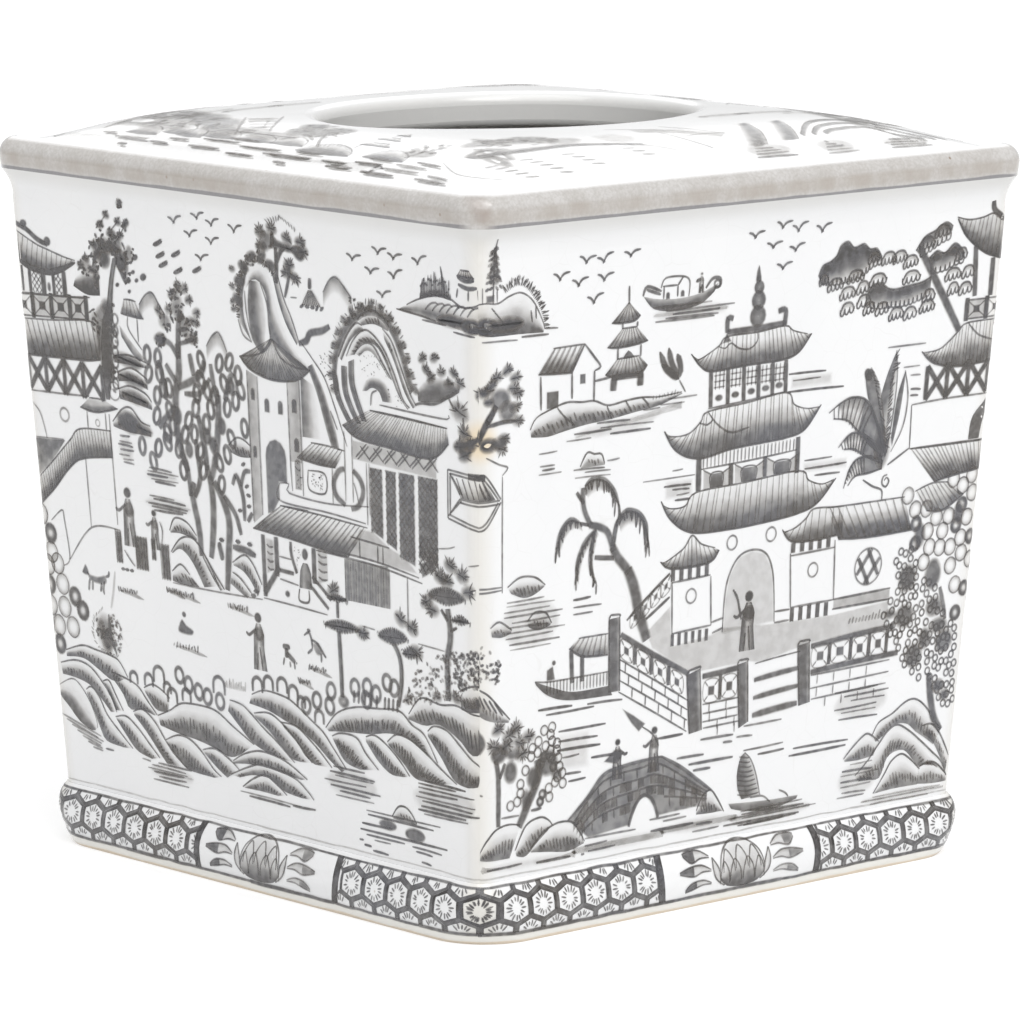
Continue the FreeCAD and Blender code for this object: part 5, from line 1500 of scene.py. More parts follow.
def paintWillow():
    boughs((([(-25.6, 56), (-28, 62), (-29.6, 67), (-31.6, 71)], 3.0),
            ([(-31, 70.4), (-34.4, 73.6), (-36, 76)], 2.3),
            ([(-35.6, 75), (-37.4, 79), (-40, 80.4), (-42.5, 81)], 1.7),
            ([(-42, 80.8), (-44, 84.4), (-44.4, 88.6)], 1.4), ([(-35.4, 73.6), (-40.8, 74.3)], 1.2),
            ([(-35.8, 76), (-35, 80), (-33.5, 82)], 1.4), ([(-42, 80.8), (-45, 81.6)], 0.8),
            ([(-44, 85.4), (-46, 87.8)], 1.0)), 0.64, 0.85)
    for crown, hang in (([(-43.8, 88.8), (-42, 90), (-38.6, 89.6), (-35.8, 87), (-34.2, 83.6)], 4.4),
                        ([(-45, 81.8), (-47.6, 82.6), (-50, 80.6), (-51.4, 77)], 3.4),
                        ([(-40.6, 80), (-43.6, 77.6), (-45.4, 74), (-45.8, 70.6)], 2.4),
                        ([(-41, 79.6), (-42, 75), (-41.6, 71.6), (-40.2, 69)], 2.0),
                        ([(-34.6, 81.4), (-32.4, 82.8), (-29, 82), (-26.8, 79.4), (-26.2, 76)], 5.0)):
        line(crown, 1.2, 0.5, 0.4)
        shade(crown, [(u + 0.9, v - hang * 0.6) for u, v in crown], (0.5, 0.42, 0.26, 0.0))
        for number, spot in enumerate(even(curve(crown), 16)):
            fall = hang * hand.uniform(0.6, 1.1) * (0.4 + 0.6 * number / 15)
            sway = hand.uniform(-0.3, 0.5)
            line([spot, spot + Vector((sway, -fall * 0.5)), spot + Vector((sway * 1.6, -fall))], 0.55, 0.56,
                 0.3)
    waterLines([(-46.5, -41.6, 66.4), (-46.4, -38.6, 64.9), (-46.4, -41, 63.5)], 0.5, 0.62)
    # rocks in the water, the corner wall and the end of the lantern box
    lobe([(-64.4, 71), (-61, 72.6), (-57, 72.2), (-54.2, 70.4)],
         [(-63.4, 69.6), (-60, 68.4), (-57, 68.8), (-54.6, 70)], 0.66)
    lobe([(-59, 63.6), (-57, 65.2), (-54, 64.8), (-52.4, 62.6)],
         [(-58.6, 62.4), (-56, 61.5), (-52.8, 62.2)], 0.66)
    lobe([(-69, 63.4), (-66.6, 64.4), (-63.2, 62.4)], [(-68.6, 61.6), (-66, 61.2), (-63.4, 61.8)], 0.66)
    rippled(-66.4, -50, 58.4, 68, 10, 0.4)
    lines([[(-65.8, 93), (-65.8, 70)], [(-70, 97), (-66.6, 95.4), (-64.4, 94.6), (-65.8, 93.2)],
           [(-74, 71.2), (-66, 71.2)], [(-74, 70.3), (-66, 70.6)]], 0.5, 0.45)
    for slip in (0.0, 0.7):
        lines([[(-72, 93.4 - slip), (-70 - slip * 0.6, 93.3 - slip), (-66.2 - slip, 88.6)],
               [(-72, 82.6 + slip), (-69.8 - slip * 0.4, 83.4 + slip), (-66.2 - slip, 88)],
               [(-72, 88.2 - slip), (-66.4, 88.4 - slip)]], 0.5, 0.5, 0.9)
    shade([(-72, 92.4), (-70.4, 92.4)], [(-72, 88.4), (-67.6, 88.6)], (0.0, 0.1, 0.4, 0.66))
    lines([[(-72, 92), (-70, 88.8)], [(-71, 92.6), (-68.8, 88.8)]], 0.6, 0.66, 0.8)
    shade([(-72, 93.9), (-70.2, 93.8)], [(-72, 92.4), (-70.2, 92.4)], (0.2, 0.75, 0.75, 0.3))
    # covered boat
    roof([(-44.8, 58.6), (-36.5, 58.6)], [(-47.4, 56.8), (-45.6, 55.7), (-43, 54.7), (-36.5, 54.3)], 10,
         0.5, 0.15, 0.6)
    lines([[(-46.8, 56.4), (-46.4, 49.8)], [(-43.7, 55), (-43.6, 49.8)]], 1.3, 0.68, 0.9)
    shade([(-56.8, 51.3), (-52, 49.6), (-46, 48), (-36, 48)],
          [(-56.4, 50.5), (-53, 48), (-47, 46.4), (-35, 46)], (0.62, 0.7, 0.66))
    line([(-56.8, 51.3), (-52, 50.8), (-36, 50.9)], 0.45, 0.5)
    for number in range(19):
        line([(-53.4 + number * 0.93, 50.9), (-53.4 + number * 0.93, 48.2)], 0.45, 0.42)
    wash([(-53.6, 51), (-53.6, 53.2), (-51.8, 54), (-51.1, 51)], 0.6, 0.3, False)
    blot(-51.6, 54.5, 0.6, 0.6, 0.6, 0.25)
    waterLines([(-55.8, -46.2, 45.4), (-53.6, -40, 44.2), (-42, -32, 45), (-50, -36.6, 40.4),
                (-50, -38.8, 38.4), (-50.4, -38, 36.6), (-48.8, -44, 35), (-40.6, -32.6, 34),
                (-48, -43.4, 31.6), (-47, -42, 30)], 0.5, 0.6)
    block(-50, -41, 32, 40, 0.1, 1.4)


def paintRiverside():
    # shrubs and bank at the left corner
    stones([(-74, 60), (-70, 60), (-66, 56), (-67, 52), (-74, 53)], 1.0, 60, 0.55)
    lobe([(-74, 51.6), (-70, 50.4), (-66, 46.8), (-63.6, 44.6)], [(-74, 46.8), (-69, 44.8), (-64, 44)],
         0.55)
    for number in range(5):
        line([(-73.6 + number * 1.4, 50.6 - number * 0.5), (-72 + number * 1.6, 48 - number * 0.6)], 0.55,
             0.62)
    wash([(-74, 43), (-71, 42.4), (-70, 40), (-72, 38), (-74, 38.4)], 0.6, 0.7)
    wash([(-74, 34), (-72, 33.4), (-73, 32)], 0.55, 0.5)
    line([(-74, 30.4), (-71, 30)], 0.5, 0.5)
    boughs((([(-66.8, 23.4), (-66.8, 33), (-67.6, 37)], 1.5), ([(-66.4, 33), (-65, 36)], 0.9),
            ([(-61, 22.6), (-58.4, 27), (-55.6, 32), (-56, 35.6)], 2.3)), 0.62, 0.85)
    inkBlots(((-66.6, 38, 2.6, 2.2, 0.68), (-63.4, 34, 2.2, 2.6, 0.6), (-62.6, 37.6, 2.4, 1.6, 0.5),
              (-53, 34.6, 3.2, 3.0, 0.56), (-57, 32, 2.2, 2.6, 0.56), (-50.4, 32, 1.8, 1.6, 0.5),
              (-59, 28, 1.8, 2.4, 0.5)), 1.0)
    tufts(((-66.8, 43, 90), (-64, 41.4, 60), (-61, 39.6, 40), (-58.4, 40.6, 30), (-60.2, 37.2, 0),
           (-62, 42.6, 60), (-68, 39.6, 150), (-64.6, 39.4, 80)), 2.4, 0.6, 9, 240)
    bubbles([(-54, 41.2), (-51.8, 41.6), (-52.2, 40.2), (-55.6, 39.2), (-57.3, 38), (-57.6, 36.4),
             (-55.8, 37), (-53.6, 38), (-51.8, 38.8), (-50.4, 38.2), (-52.2, 37), (-50.4, 36.8),
             (-50, 35.2), (-49.6, 33.4), (-48.8, 32), (-50.2, 31.4), (-48.6, 29.9), (-50.8, 30.4),
             (-59.2, 33.8), (-60.6, 31.2), (-61.5, 27.8), (-63.4, 27.2), (-60.6, 29.4), (-52.6, 29.4),
             (-52.4, 27.6), (-55, 34.6)], 1.1, False)
    bubbles([(-54.4, 28.4), (-55, 27), (-54, 36), (-52, 35.4), (-51.4, 33.6)], 1.2, True)
    lobe([(-72.8, 17.6), (-70, 20.8), (-67.5, 22.8), (-64, 23.5), (-60.6, 23)],
         [(-72.6, 17), (-68, 16.7), (-63.6, 16.7)], 0.6, outline=0.65)
    lobe([(-62, 18), (-59, 22.6), (-55, 23.8), (-52.6, 23), (-51.4, 21.8)],
         [(-61.6, 16.8), (-59, 16.4), (-56, 18.6), (-53, 20.6)], 0.6, outline=0.65)
    lobe([(-58, 17.4), (-54, 20.6), (-50, 22), (-46, 21.7), (-44, 20), (-42, 17.2)],
         [(-57.4, 17), (-52, 16.4), (-47, 15.8), (-42.2, 16.8)], 0.66, outline=0.65)
    blots(((-58, 15, 14, 1.2), (-32, 15.6, 14, 1.5), (-8, 16.2, 12, 1.6)), 0.13, 1.1)
    waterLines([(-70, -60, 14.9), (-56, -46, 14.7), (-43, -42, 14.6), (-42, -35.4, 16.2), (-42, -27, 17.7),
                (-41, -33, 15), (-66, -61, 25), (-57.6, -54.6, 25.5), (-23, -14, 19), (-19, -12, 18.2),
                (-22.6, -9.8, 16.6), (-9, -4, 16.2), (-10, -2, 14.8), (-12, 1.2, 28.9), (-10.6, -5.4, 27.5),
                (-15.6, -7.6, 30.6), (-8.8, 1, 33.6), (-2, 0.8, 32.2), (2, 6.8, 32.8), (4, 15.4, 34.8),
                (-21.4, -14, 35.4), (19.6, 36.6, 28.2), (18.4, 36, 26.8), (4.4, 16.4, 29.7),
                (8.8, 16.8, 28.4), (5.6, 18, 14.1)], 0.5, 0.56)
    # humped bridge with two people and a parasol
    wash([(-47, 22), (-41.5, 26), (-37, 30), (-32, 31), (-25, 31.4), (-20, 31.6), (-14, 28.6), (-9, 25.4),
          (-4.8, 22.8), (-7.6, 21.6), (-9.2, 19.8), (-20.8, 19.4), (-21.4, 21.4), (-22.8, 23.2),
          (-24.6, 24), (-26.4, 23.4), (-28, 21.4), (-28.9, 18.6), (-41, 17.6), (-43.6, 19.6)], 0.44, 0.4,
         False)
    for drop in (1.4, 3.6, 5.8, 8.0):  # courses of stone
        course = even(curve([(-46 + drop * 0.4, 21.6 - drop * 0.3), (-37, 30 - drop), (-26, 31.4 - drop),
                (-20, 31.4 - drop), (-6, 22.8 - drop * 0.2)]), 24)
        for number, (a, b) in enumerate(zip(course, course[1:])):
            if not -30 < a.x < -20 or a.y > 24.4:
                line([a, b], 0.5, 0.46, 0.8)
                if number % 2 == int(drop) % 2:
                    line([a, a + Vector((0.2, -1.9))], 0.45, 0.42)
                if hand.random() < 0.45:
                    wash([a, b, b + Vector((0, -1.9)), a + Vector((0, -1.9))], hand.uniform(0.2, 0.42), 0.3,
                         False)
    line([(-29.2, 18.4), (-28, 21.4), (-26.4, 23.6), (-24.6, 24.3), (-22.8, 23.4), (-21.4, 21.4),
          (-20.6, 19.2)], 0.9, 0.66, 0.9)
    line([(-47, 22), (-41.5, 26), (-37, 30), (-32, 31), (-25, 31.5), (-20, 31.6)], 0.9, 0.66)
    line([(-20, 31.6), (-14, 28.6), (-9, 25.4), (-4.8, 22.8)], 0.9, 0.66)
    lobe([(-9, 19), (-7.4, 21.8), (-5, 22.8), (-3, 21), (-0.6, 17.8)], [(-9, 18.2), (-5, 18), (-1.4, 18)],
         0.62, outline=0.6)
    person(-33, 28.6, 8.4, 1, 0.66)
    wash([(-37.2, 32.6), (-34, 34.8), (-31, 34), (-33, 31.6)], 0.62, 0.4, False)
    person(-22.4, 28.8, 9.4, -1, 0.6)
    wash([(-32.4, 43.2), (-28.6, 41.2), (-25, 39), (-27, 37.4), (-29.4, 39.6)], 0.56, 0.35, False)
    line([(-26, 38.4), (-23, 36.6), (-21, 34)], 0.45, 0.55)
    # sailing boat
    shade([(4.6, 19.6), (3.2, 22), (2.8, 25.4), (3.8, 28.8), (4.8, 29.2)],
          [(10.2, 19.8), (9.2, 22.8), (8.2, 25.4), (6.8, 27.6), (5, 29.2)], (0.66, 0.6, 0.3, 0.12))
    for number in range(9):
        v = 20.4 + number * 0.98
        line([(3.2, v + 0.3), (6, v - 0.2), (9.8 - number * 0.46, v)], 0.4, 0.5)
    line([(10.2, 19.8), (8.6, 24.4), (6.8, 27.6), (4.8, 29.3)], 0.4, 0.5)
    shade([(0.6, 19.2), (6, 18.8), (14, 18.4), (22, 18.3)], [(1.6, 18), (6, 17), (14, 16.3), (21.6, 17.6)],
          (0.3, 0.5, 0.6))
    lines([[(7.2, 19.6), (11, 19.5), (13.4, 18)], [(16, 20.1), (18, 19.3), (19, 18.4)]], 0.5, 0.5)
    rippled(1, 26.6, 14.4, 17, 6, 0.5)
    # bank on the right and its ripples
    for top, bottom in (([(35.6, 24), (38, 26), (41, 28), (43, 28.4), (46.4, 26.4)],
            [(36, 23.4), (40, 23.2), (45, 23.6)]),
            ([(44.2, 28), (46, 30.4), (50, 31.8), (54, 33.8), (57, 34), (60, 32.4), (63, 29.6), (66, 26.6)],
             [(45.4, 26.4), (48, 27.6), (51, 29.4), (55, 29), (58, 27), (61, 25.4), (64, 23.6)]),
            ([(39.6, 20), (43, 22.4), (46, 25.4), (49, 28.2), (52, 29.2), (56, 27.4), (60, 24.8), (64, 22),
              (67, 19.8), (69.4, 16.4)], [(41, 18.6), (44, 18.5), (47.6, 18.6), (49.4, 22.4), (52, 23.6),
            (55, 23.4), (58, 21), (60, 19.4), (64, 20)]),
            ([(46, 15.4), (49, 19), (51, 21.6), (54, 22.8), (57, 21.4), (60.4, 18.8)],
             [(46.4, 15.4), (52, 15.7), (60, 15.6)]),
            ([(60, 19.2), (63, 20), (66, 19.2), (69.6, 16.4)], [(60, 15.7), (65, 15.2), (69.6, 15.2)]),
            ([(60, 28), (63, 28), (66, 25.6), (69.6, 20.6)], [(60.6, 26), (64, 24), (69, 17.4)])):
        lobe(top, bottom, 0.56)
    rippled(34, 46.6, 15.8, 22.6, 7, 0.42)
    rippled(31, 48.4, 32.4, 38.4, 6, 0.55)
    rippled(42, 69, 13.4, 14.8, 3, 0.3)


def paintBlossomTree():
    blots(((51, 60, 3, 3.2), (58.8, 60, 2.8, 3.6), (51, 52, 3.2, 2.8), (60, 53, 2.8, 2.4),
           (55, 43.4, 3, 2.8), (58, 46.6, 2.2, 2.6), (64.2, 45.4, 3, 2.8), (63.8, 36, 2.2, 1.8),
           (66, 33.8, 1.8, 1.6), (53.6, 68.6, 2, 3), (65, 72, 2, 2.6), (62, 49, 3, 2), (46.6, 53, 2, 1.4)),
          0.56, 1.0)
    bubbles([(49, 77.3), (51.6, 74.2), (55, 74), (58.3, 71.9), (62, 71.8), (56, 69.2), (60.6, 68.8),
             (57, 65.8), (60.2, 65.4), (63.4, 65.2), (66.4, 66.8), (67.8, 71), (62.6, 79.4), (65.6, 77.8),
             (68.2, 79.8), (68.8, 76), (55.6, 62.8), (64, 61.2), (67, 63.6), (70, 62), (66, 57)], 1.9,
            False)
    bubbles([(52.2, 71.2), (52.4, 67), (65.8, 73.8), (64.6, 69.6), (69.4, 66.8), (67, 51), (69, 56)], 1.9,
            True)
    small = [(47, 66), (52, 66), (54, 61), (60, 57), (63, 52), (68, 48), (69.4, 31), (65, 31), (62, 37),
             (57, 38), (53, 40.5), (50, 45), (46, 50), (44.4, 53), (47, 58)]
    taken = []

    def blossom(u, v):
        if all((Vector((u, v)) - spot).length > 1.45 for spot in taken):
            taken.append(Vector((u, v)))
            ring(u, v, 0.72, 0.72, 0.5, 0.55)

    scatter(small, 900, blossom)
    line([(60.4, 39), (62, 33), (63.4, 29.4), (66, 26.4)], 2.2, 0.64, 0.7)
    line([(61.4, 57), (63, 53), (64, 50)], 1.4, 0.5, 0.7)


def paintPlumePlant():
    shade([(33.4, 103.4), (34.6, 99), (37.6, 93), (41, 86)],
          [(35, 105.2), (37.4, 102), (39.2, 97), (41.4, 87)], (0.6, 0.46, 0.52, 0.3))
    needles([(35, 104.6), (37, 100), (39, 94), (41, 88)], 1.8, 0.6, 0.6, -60)
    blot(34.3, 103.6, 1.2, 1.6, 0.66, 0.4, 30)
    shade([(38.4, 99), (40, 103.6), (42.1, 107.9)], [(41.2, 87), (42.4, 97), (42.6, 103)],
          (0.62, 0.56, 0.2, 0.0))
    needles([(42, 107), (41, 101), (40.8, 94), (41, 88)], 2.0, 0.6, 0.6, 40)
    line([(41.4, 87), (42.6, 97), (42.7, 103.4), (42, 108)], 0.45, 0.5)
    shade([(42.4, 90), (43.2, 98), (45, 103.4)], [(42.8, 88), (44.4, 95), (45.2, 103)], (0.6, 0.66, 0.5))
    line([(45, 103.6), (46.4, 98), (45.6, 92), (42.6, 87)], 0.5, 0.5)
    for upper, lower in (([(23.6, 96.8), (27, 98.6), (30, 99.4), (34, 98.6), (37, 95), (41, 88)],
            [(25, 95.5), (29, 94.8), (32, 92.6), (36, 89.4), (40, 86.4)]),
            ([(27, 89.4), (30, 91.8), (33, 91.8), (36.6, 90), (40.4, 86.4)],
             [(28.6, 88.9), (31.6, 88.6), (35, 87), (39.6, 85.2)]),
            ([(29.4, 80.8), (30.8, 84.6), (33, 86.6), (37, 86.6), (40.6, 85.4)],
             [(30.6, 81.2), (32.6, 83), (36, 83.2), (40.4, 83.8)])):
        a, b = even(curve(upper), 16), even(curve(lower), 16)
        lines([upper, lower], 0.55, 0.62)
        shade(a[7:], b[7:], (0.6, 0.46, 0.6))
        shade(a[2:8], b[2:8], (0.5, 0.1, 0.3))
        for p, q in list(zip(a, b))[1:10]:
            line([p, p.lerp(q, 0.5) + Vector((-0.5, 0.2)), q + Vector((-0.9, 0))], 0.45, 0.5)
    wash([(38, 93), (41.6, 92), (42.6, 87), (40.4, 83.4), (37.6, 86.4)], 0.42, 1.2)
    lines([[(35, 82), (38, 80.4), (40.8, 79.3), (41.1, 77.3)], [(42, 84.4), (45, 85.8), (48.2, 87.3)],
           [(41.4, 81.2), (42, 81.8), (42.8, 81), (42, 79.9), (40.8, 80.6), (41, 82), (42.2, 82.4)]], 0.55,
          0.6)


def paintCloudPine():
    def tassel(u, v, wide):  # a cap of foliage with a frilled hem
        half, tall = wide / 2, 2.4
        crown = [(u - half, v - tall * 0.4), (u - half * 0.6, v + tall * 0.3), (u, v + tall * 0.5),
                 (u + half * 0.6, v + tall * 0.4), (u + half, v - tall * 0.1)]
        shade(crown, [(a, b - tall * 0.5) for a, b in crown], (0.3, 0.2, 0.0))
        line(crown, 0.5, 0.6)
        count = max(3, int(wide / 1.05))
        for number in range(count):
            a = u - half + wide * number / count
            deep = v - tall * 0.55 + tall * 0.3 * number / count
            line([(a, deep + 1.1), (a + 0.15, deep), (a + wide / count * 0.6, deep - 0.1),
                  (a + wide / count, deep + 1.1)], 0.5, 0.62)

    for crown, hem, ink in (([(18, 125), (19, 127), (21.4, 127.8), (22.9, 128.9), (23.8, 130.7),
            (25.8, 131.4), (27.6, 130), (30.2, 130.6), (32.1, 129.4), (34, 129.4), (35.6, 127.6)],
            [(18.6, 124), (21.4, 123.4), (24.6, 123.4), (28.5, 124), (31.4, 125), (32.8, 126),
             (35.6, 126.6)], 0.9), ([(31.8, 119.6), (33.3, 121.7), (35.7, 122.2), (38.2, 120.9),
            (40.6, 120.6), (43.5, 121), (47.4, 121.4), (50.3, 122.4)],
            [(31.9, 118.2), (35.7, 117.4), (39.6, 117.4), (43.5, 117.4), (46.4, 118), (50.3, 119)], 0.78),
            ([(49, 126), (51.3, 127.5), (53.7, 126.9), (56.1, 128.6), (58, 127.9), (59.5, 126.3)],
             [(50, 123.4), (53.7, 123.6), (56.1, 124.4), (59.4, 125)], 0.8),
            ([(45.2, 128), (47.4, 130.6), (50.3, 131.7), (53.2, 133.2), (55.4, 132.3)],
             [(46.4, 127), (49.3, 128), (52.2, 129.4), (55, 130.2)], 0.5)):
        shade(crown, hem, (ink * 0.7, ink, ink * 0.86, ink * 0.6, ink * 0.34, 0.04))
        line(crown, 0.5, 0.5)
        under = even(curve(hem), max(4, int(pathLength(curve(hem)) / 1.1)))
        for a, b in zip(under, under[1:]):
            line([a + Vector((0, 0.8)), a + Vector((0.2, -0.4)), b + Vector((-0.2, -0.4)),
                  b + Vector((0, 0.8))], 0.5, 0.56)
    for u, v, wide in ((25, 130, 1.6), (30, 129.4, 1.7), (23, 127.6, 2.0), (33.4, 128.4, 1.3),
            (27.6, 128, 1.8), (36, 121, 1.8), (43, 120, 2.2), (56, 127, 1.6), (51.6, 126.2, 1.3)):
        blot(u, v, wide, 1.0, 0.5, 0.7)
    for u, v, wide in ((19.6, 124.4, 2.6), (23, 123, 4.6), (28.6, 124.2, 5), (26.6, 121, 4.6),
            (30.8, 121.8, 3.6), (26.8, 117.8, 4), (31.4, 119, 4), (33, 117.4, 3.4), (36.8, 117, 4),
            (41, 115.6, 4.4), (45, 115.4, 4), (49.8, 116.4, 4.6), (50, 118.6, 3.8), (35, 123, 5),
            (37.6, 127.2, 4.2), (40.8, 127.2, 4.2), (44, 126, 4.4), (44.6, 122.8, 5.2), (48.4, 129.4, 4.6),
            (52.6, 131.6, 4.6), (56.6, 122.4, 4.8), (61, 122.6, 3.8), (57, 119.4, 3.4), (60.6, 119.2, 4),
            (58.6, 126.4, 3.4), (33.4, 127.8, 3.4)):
        tassel(u, v, wide)
    line([(46.4, 128.4), (52, 121), (59.8, 110.6)], 2.0, 0.7, 0.9)
    waterLines([(39.4, 50.4, 108.7), (44.4, 49.2, 104.2), (46.6, 49.6, 102.4), (47, 50, 99.5),
                (47, 49.4, 98.2)])


def paintRightPavilion():
    roof([(56.4, 134), (60, 133.2), (64, 133.4), (67, 134), (71, 132.6)],
         [(56.6, 133.6), (59, 130.4), (62, 128), (66, 125.8), (71, 124.4)], 16, 0.8, 0.3, 0.5)
    line([(66.5, 136.6), (67.2, 134.6), (70.6, 132.6)], 1.5, 0.8, 0.8)
    lines([[(62.6, 127.6), (63.6, 117.2)], [(68, 124.8), (68.2, 117)]], 1.6, 0.7, 0.9)
    boxFence([61.6, 67.4, 73], 112.6, 116.5)
    roof([(50.4, 106.7), (55, 107.2), (59.6, 110.2), (62, 111.8), (71, 112)],
         [(49.4, 107), (53, 104.4), (60, 103), (71, 103.4)], 28, 0.68, 0.1)
    lines([[(62.4, 111.8), (66, 109), (71, 107.6)]], 0.5, 0.5)
    crossFence([51.6, 57.6, 63.8, 69.8], 96.9, 103.8)
    lines([[(47.8, 96.2), (58, 96.6), (71, 96.6)], [(47.8, 96.2), (48.2, 87.2)], [(48.2, 87.1), (71, 87)]],
          0.5, 0.5)
    shade([(65.8, 87.3), (66.4, 92), (70.4, 95.6)], [(69, 87.3), (69.6, 90.6), (71, 92.6)],
          (0.62, 0.66, 0.5))
    roof([(48.4, 87), (58, 86.9), (71, 86.8)], [(56.6, 79.4), (62, 80.2), (71, 81)], 24, 0.72, 0.1, 0.5,
         0.02)
    roof([(51, 78), (56, 79.2), (61, 79)], [(55, 73.6), (60, 73.2), (66, 76)], 12, 0.5, 0.15)


def paintPagodaSide():
    freshPaper()
    paintPagodaSky()
    paintBigPagoda()
    paintGate()
    paintWillow()
    paintRiverside()
    paintRightPavilion()
    paintBlossomTree()
    paintPlumePlant()
    paintCloudPine()
    paintEdgeLine()


# the hexagon belt, with a bare panel and a lotus in the middle of each side
beltLook = {
    "cells": 19, "corner": 12.5, "half": 68.2, "rowHeight": 7.2, "rowStep": 5.1, "shoulder": 1.7,
    "point": 3.4, "band": 0.7, "bandInks": (0.56, 0.59, 0.63, 0.76), "dark": 0.2, "darkShare": 0.4,
    "ticks": 15, "tickStart": (0.95, 1.3), "tickEnd": (2.0, 2.45), "tickWidth": 0.4, "tickInk": 0.56,
    "low": 2.4, "high": 11.6,
}
beltLook["flat"] = beltLook["half"] - beltLook["corner"]
# from a side's middle to the corner's middle
beltLook["reach"] = beltLook["flat"] + math.pi / 4 * beltLook["corner"]
beltLook["pitch"] = 2 * beltLook["reach"] / beltLook["cells"]


def paintCell(u, v, panel):
    look = beltLook
    half = look["pitch"] / 2
    left = u < sum(panel) / 2

    def corners(inset):  # cut off at the belt's edges and at the panel
        wide, shoulder, point = half - inset, look["shoulder"] - inset * 0.25, look["point"] - inset * 1.1
        spots = []
        for x, y in ((-wide, -shoulder), (0, -point), (wide, -shoulder), (wide, shoulder), (0, point),
                (-wide, shoulder)):
            x = min(u + x, panel[0]) if left else max(u + x, panel[1])
            spots.append(Vector((x, min(max(v + y, look["low"]), look["high"]))))
        return spots

    shares = (0.0, 0.35, 0.75, 1.0)
    rings = [corners(look["band"] * share) for share in shares]
    dark = look["dark"] if hand.random() < look["darkShare"] and v > look["rowHeight"] - 1 else 0.0
    for number in range(6):
        after = (number + 1) % 6
        rows = [[ring[number].lerp(ring[after], step / 4) for step in range(5)] for ring in rings]
        if (rows[0][4] - rows[0][0]).length > 0.3:
            lay(rows, [ink + (dark if number in (2, 4, 5) else 0.0) for ink in look["bandInks"]], [0] * 4)
    turn = hand.random()
    for number in range(look["ticks"]):
        angle = math.tau * (number + turn + hand.uniform(-0.2, 0.2)) / look["ticks"]
        way = Vector((math.cos(angle), math.sin(angle) * 1.06))
        start = way * hand.uniform(*look["tickStart"]) + Vector((u, v))
        end = way * hand.uniform(*look["tickEnd"]) + Vector((u, v))
        clear = end.x < panel[0] - 0.4 if left else end.x > panel[1] + 0.4
        if clear and look["low"] + 0.3 < min(start.y, end.y) and max(start.y, end.y) < look["high"] - 0.2:
            line([start, end], look["tickWidth"], look["tickInk"], 0.5)


def paintLotus(u):
    dome = [(-6.2, 6.4), (-5.2, 9.4), (-2.8, 11.4), (0, 12), (2.8, 11.4), (5.2, 9.4), (6.2, 6.4)]
    bowl = [(-5.6, 4.6), (-4.4, 3.3), (-2, 2.8), (0, 2.7), (2, 2.8), (4.4, 3.3), (5.6, 4.6)]
    shade([(u + x, y) for x, y in dome], [(u + x, y) for x, y in bowl], (0.04, 0.1, 0.14, 0.24, 0.46, 0.66))
    line([(u + x, y) for x, y in dome], 0.45, 0.46)
    for x, y, wide in ((-3.6, 8.4, 1.6), (0, 8.8, 1.7), (3.6, 8.4, 1.6), (-1.8, 6.4, 1.6), (1.8, 6.4, 1.6),
            (-4.8, 6.2, 1.3), (4.8, 6.2, 1.3)):
        line([(u + x - wide, y - 2.4), (u + x - wide * 0.8, y), (u + x, y + 2), (u + x + wide * 0.8, y),
              (u + x + wide, y - 2.4)], 0.4, 0.44)
    for way in (-1, 1):  # outer petals
        inner = [(u + way * 4.8, 3.5), (u + way * 6, 5), (u + way * 6.4, 7), (u + way * 7.8, 9.4)]
        outer = [(u + way * 5, 3.4), (u + way * 7.2, 5), (u + way * 8, 7), (u + way * 7.9, 9.4)]
        shade(inner, outer, (0.2, 0.1, 0.26))
        lines([inner, outer], 0.4, 0.5)
    for way in (-1, 1):  # leaves like commas, darkest at their tips
        for v, reach, rise in ((9.8, 15.4, 1.1), (7.2, 17.2, 0.5), (4.6, 15.8, -0.7)):
            upper = [(u + way * 8.6, v), (u + way * 11, v + 1.0 + rise * 0.3),
                     (u + way * 14, v + 0.9 + rise * 0.5), (u + way * reach, v + rise)]
            lower = [(u + way * 8.6, v - 0.3), (u + way * 11, v - 0.2), (u + way * 13.6, v - 0.8),
                     (u + way * reach, v + rise - 0.5)]
            a, b = even(curve(upper), 12), even(curve(lower), 12)
            shade(a[:7], b[:7], (0.26, 0.1, 0.16))
            shade(a[6:], b[6:], (0.5, 0.62, 0.5) if way < 0 else (0.3, 0.42, 0.34))
            lines([upper, lower], 0.4, 0.5 if way < 0 else 0.4)


def paintBelt(panel, middle):
    freshPaper()
    look = beltLook
    for number in range(look["cells"] + 1):
        u = number * look["pitch"] - look["reach"]
        rows = [(u, look["rowHeight"])]
        if number < look["cells"]:
            rows += [(u + look["pitch"] / 2, look["rowHeight"] + step * look["rowStep"]) for step in (-1,
                    1)]
        for spot, v in rows:
            if not panel[0] + 1.5 < spot < panel[1] - 1.5:
                paintCell(spot, v, panel)
    for edge, way in zip(panel, (-1, 1)):
        bar = [(edge - way * 0.3, 11.7), (edge + way * 0.1, 10), (edge + way * 0.3, 7.2),
               (edge + way * 0.1, 4.6), (edge - way * 0.2, 2.4)]
        shade([(u - 0.9, v) for u, v in bar], [(u + 0.9, v) for u, v in bar], (0.8, 0.72, 0.74, 0.82))
    paintLotus(middle)
    wander(-look["reach"] - 0.4, look["reach"] + 0.4, look["low"] - 0.1, 0.8, 0.66)
    wander(-look["reach"], look["reach"], look["high"], 0.55, 0.5)


# the painting on the top: u runs along a side, v goes in from the rim's outer edge

def softHills(hills):
    for u, v, wide, tall, ink in hills:
        blot(u, v, wide * 1.2, tall * 1.2, ink * 1.3, min(wide, tall) * 0.6)


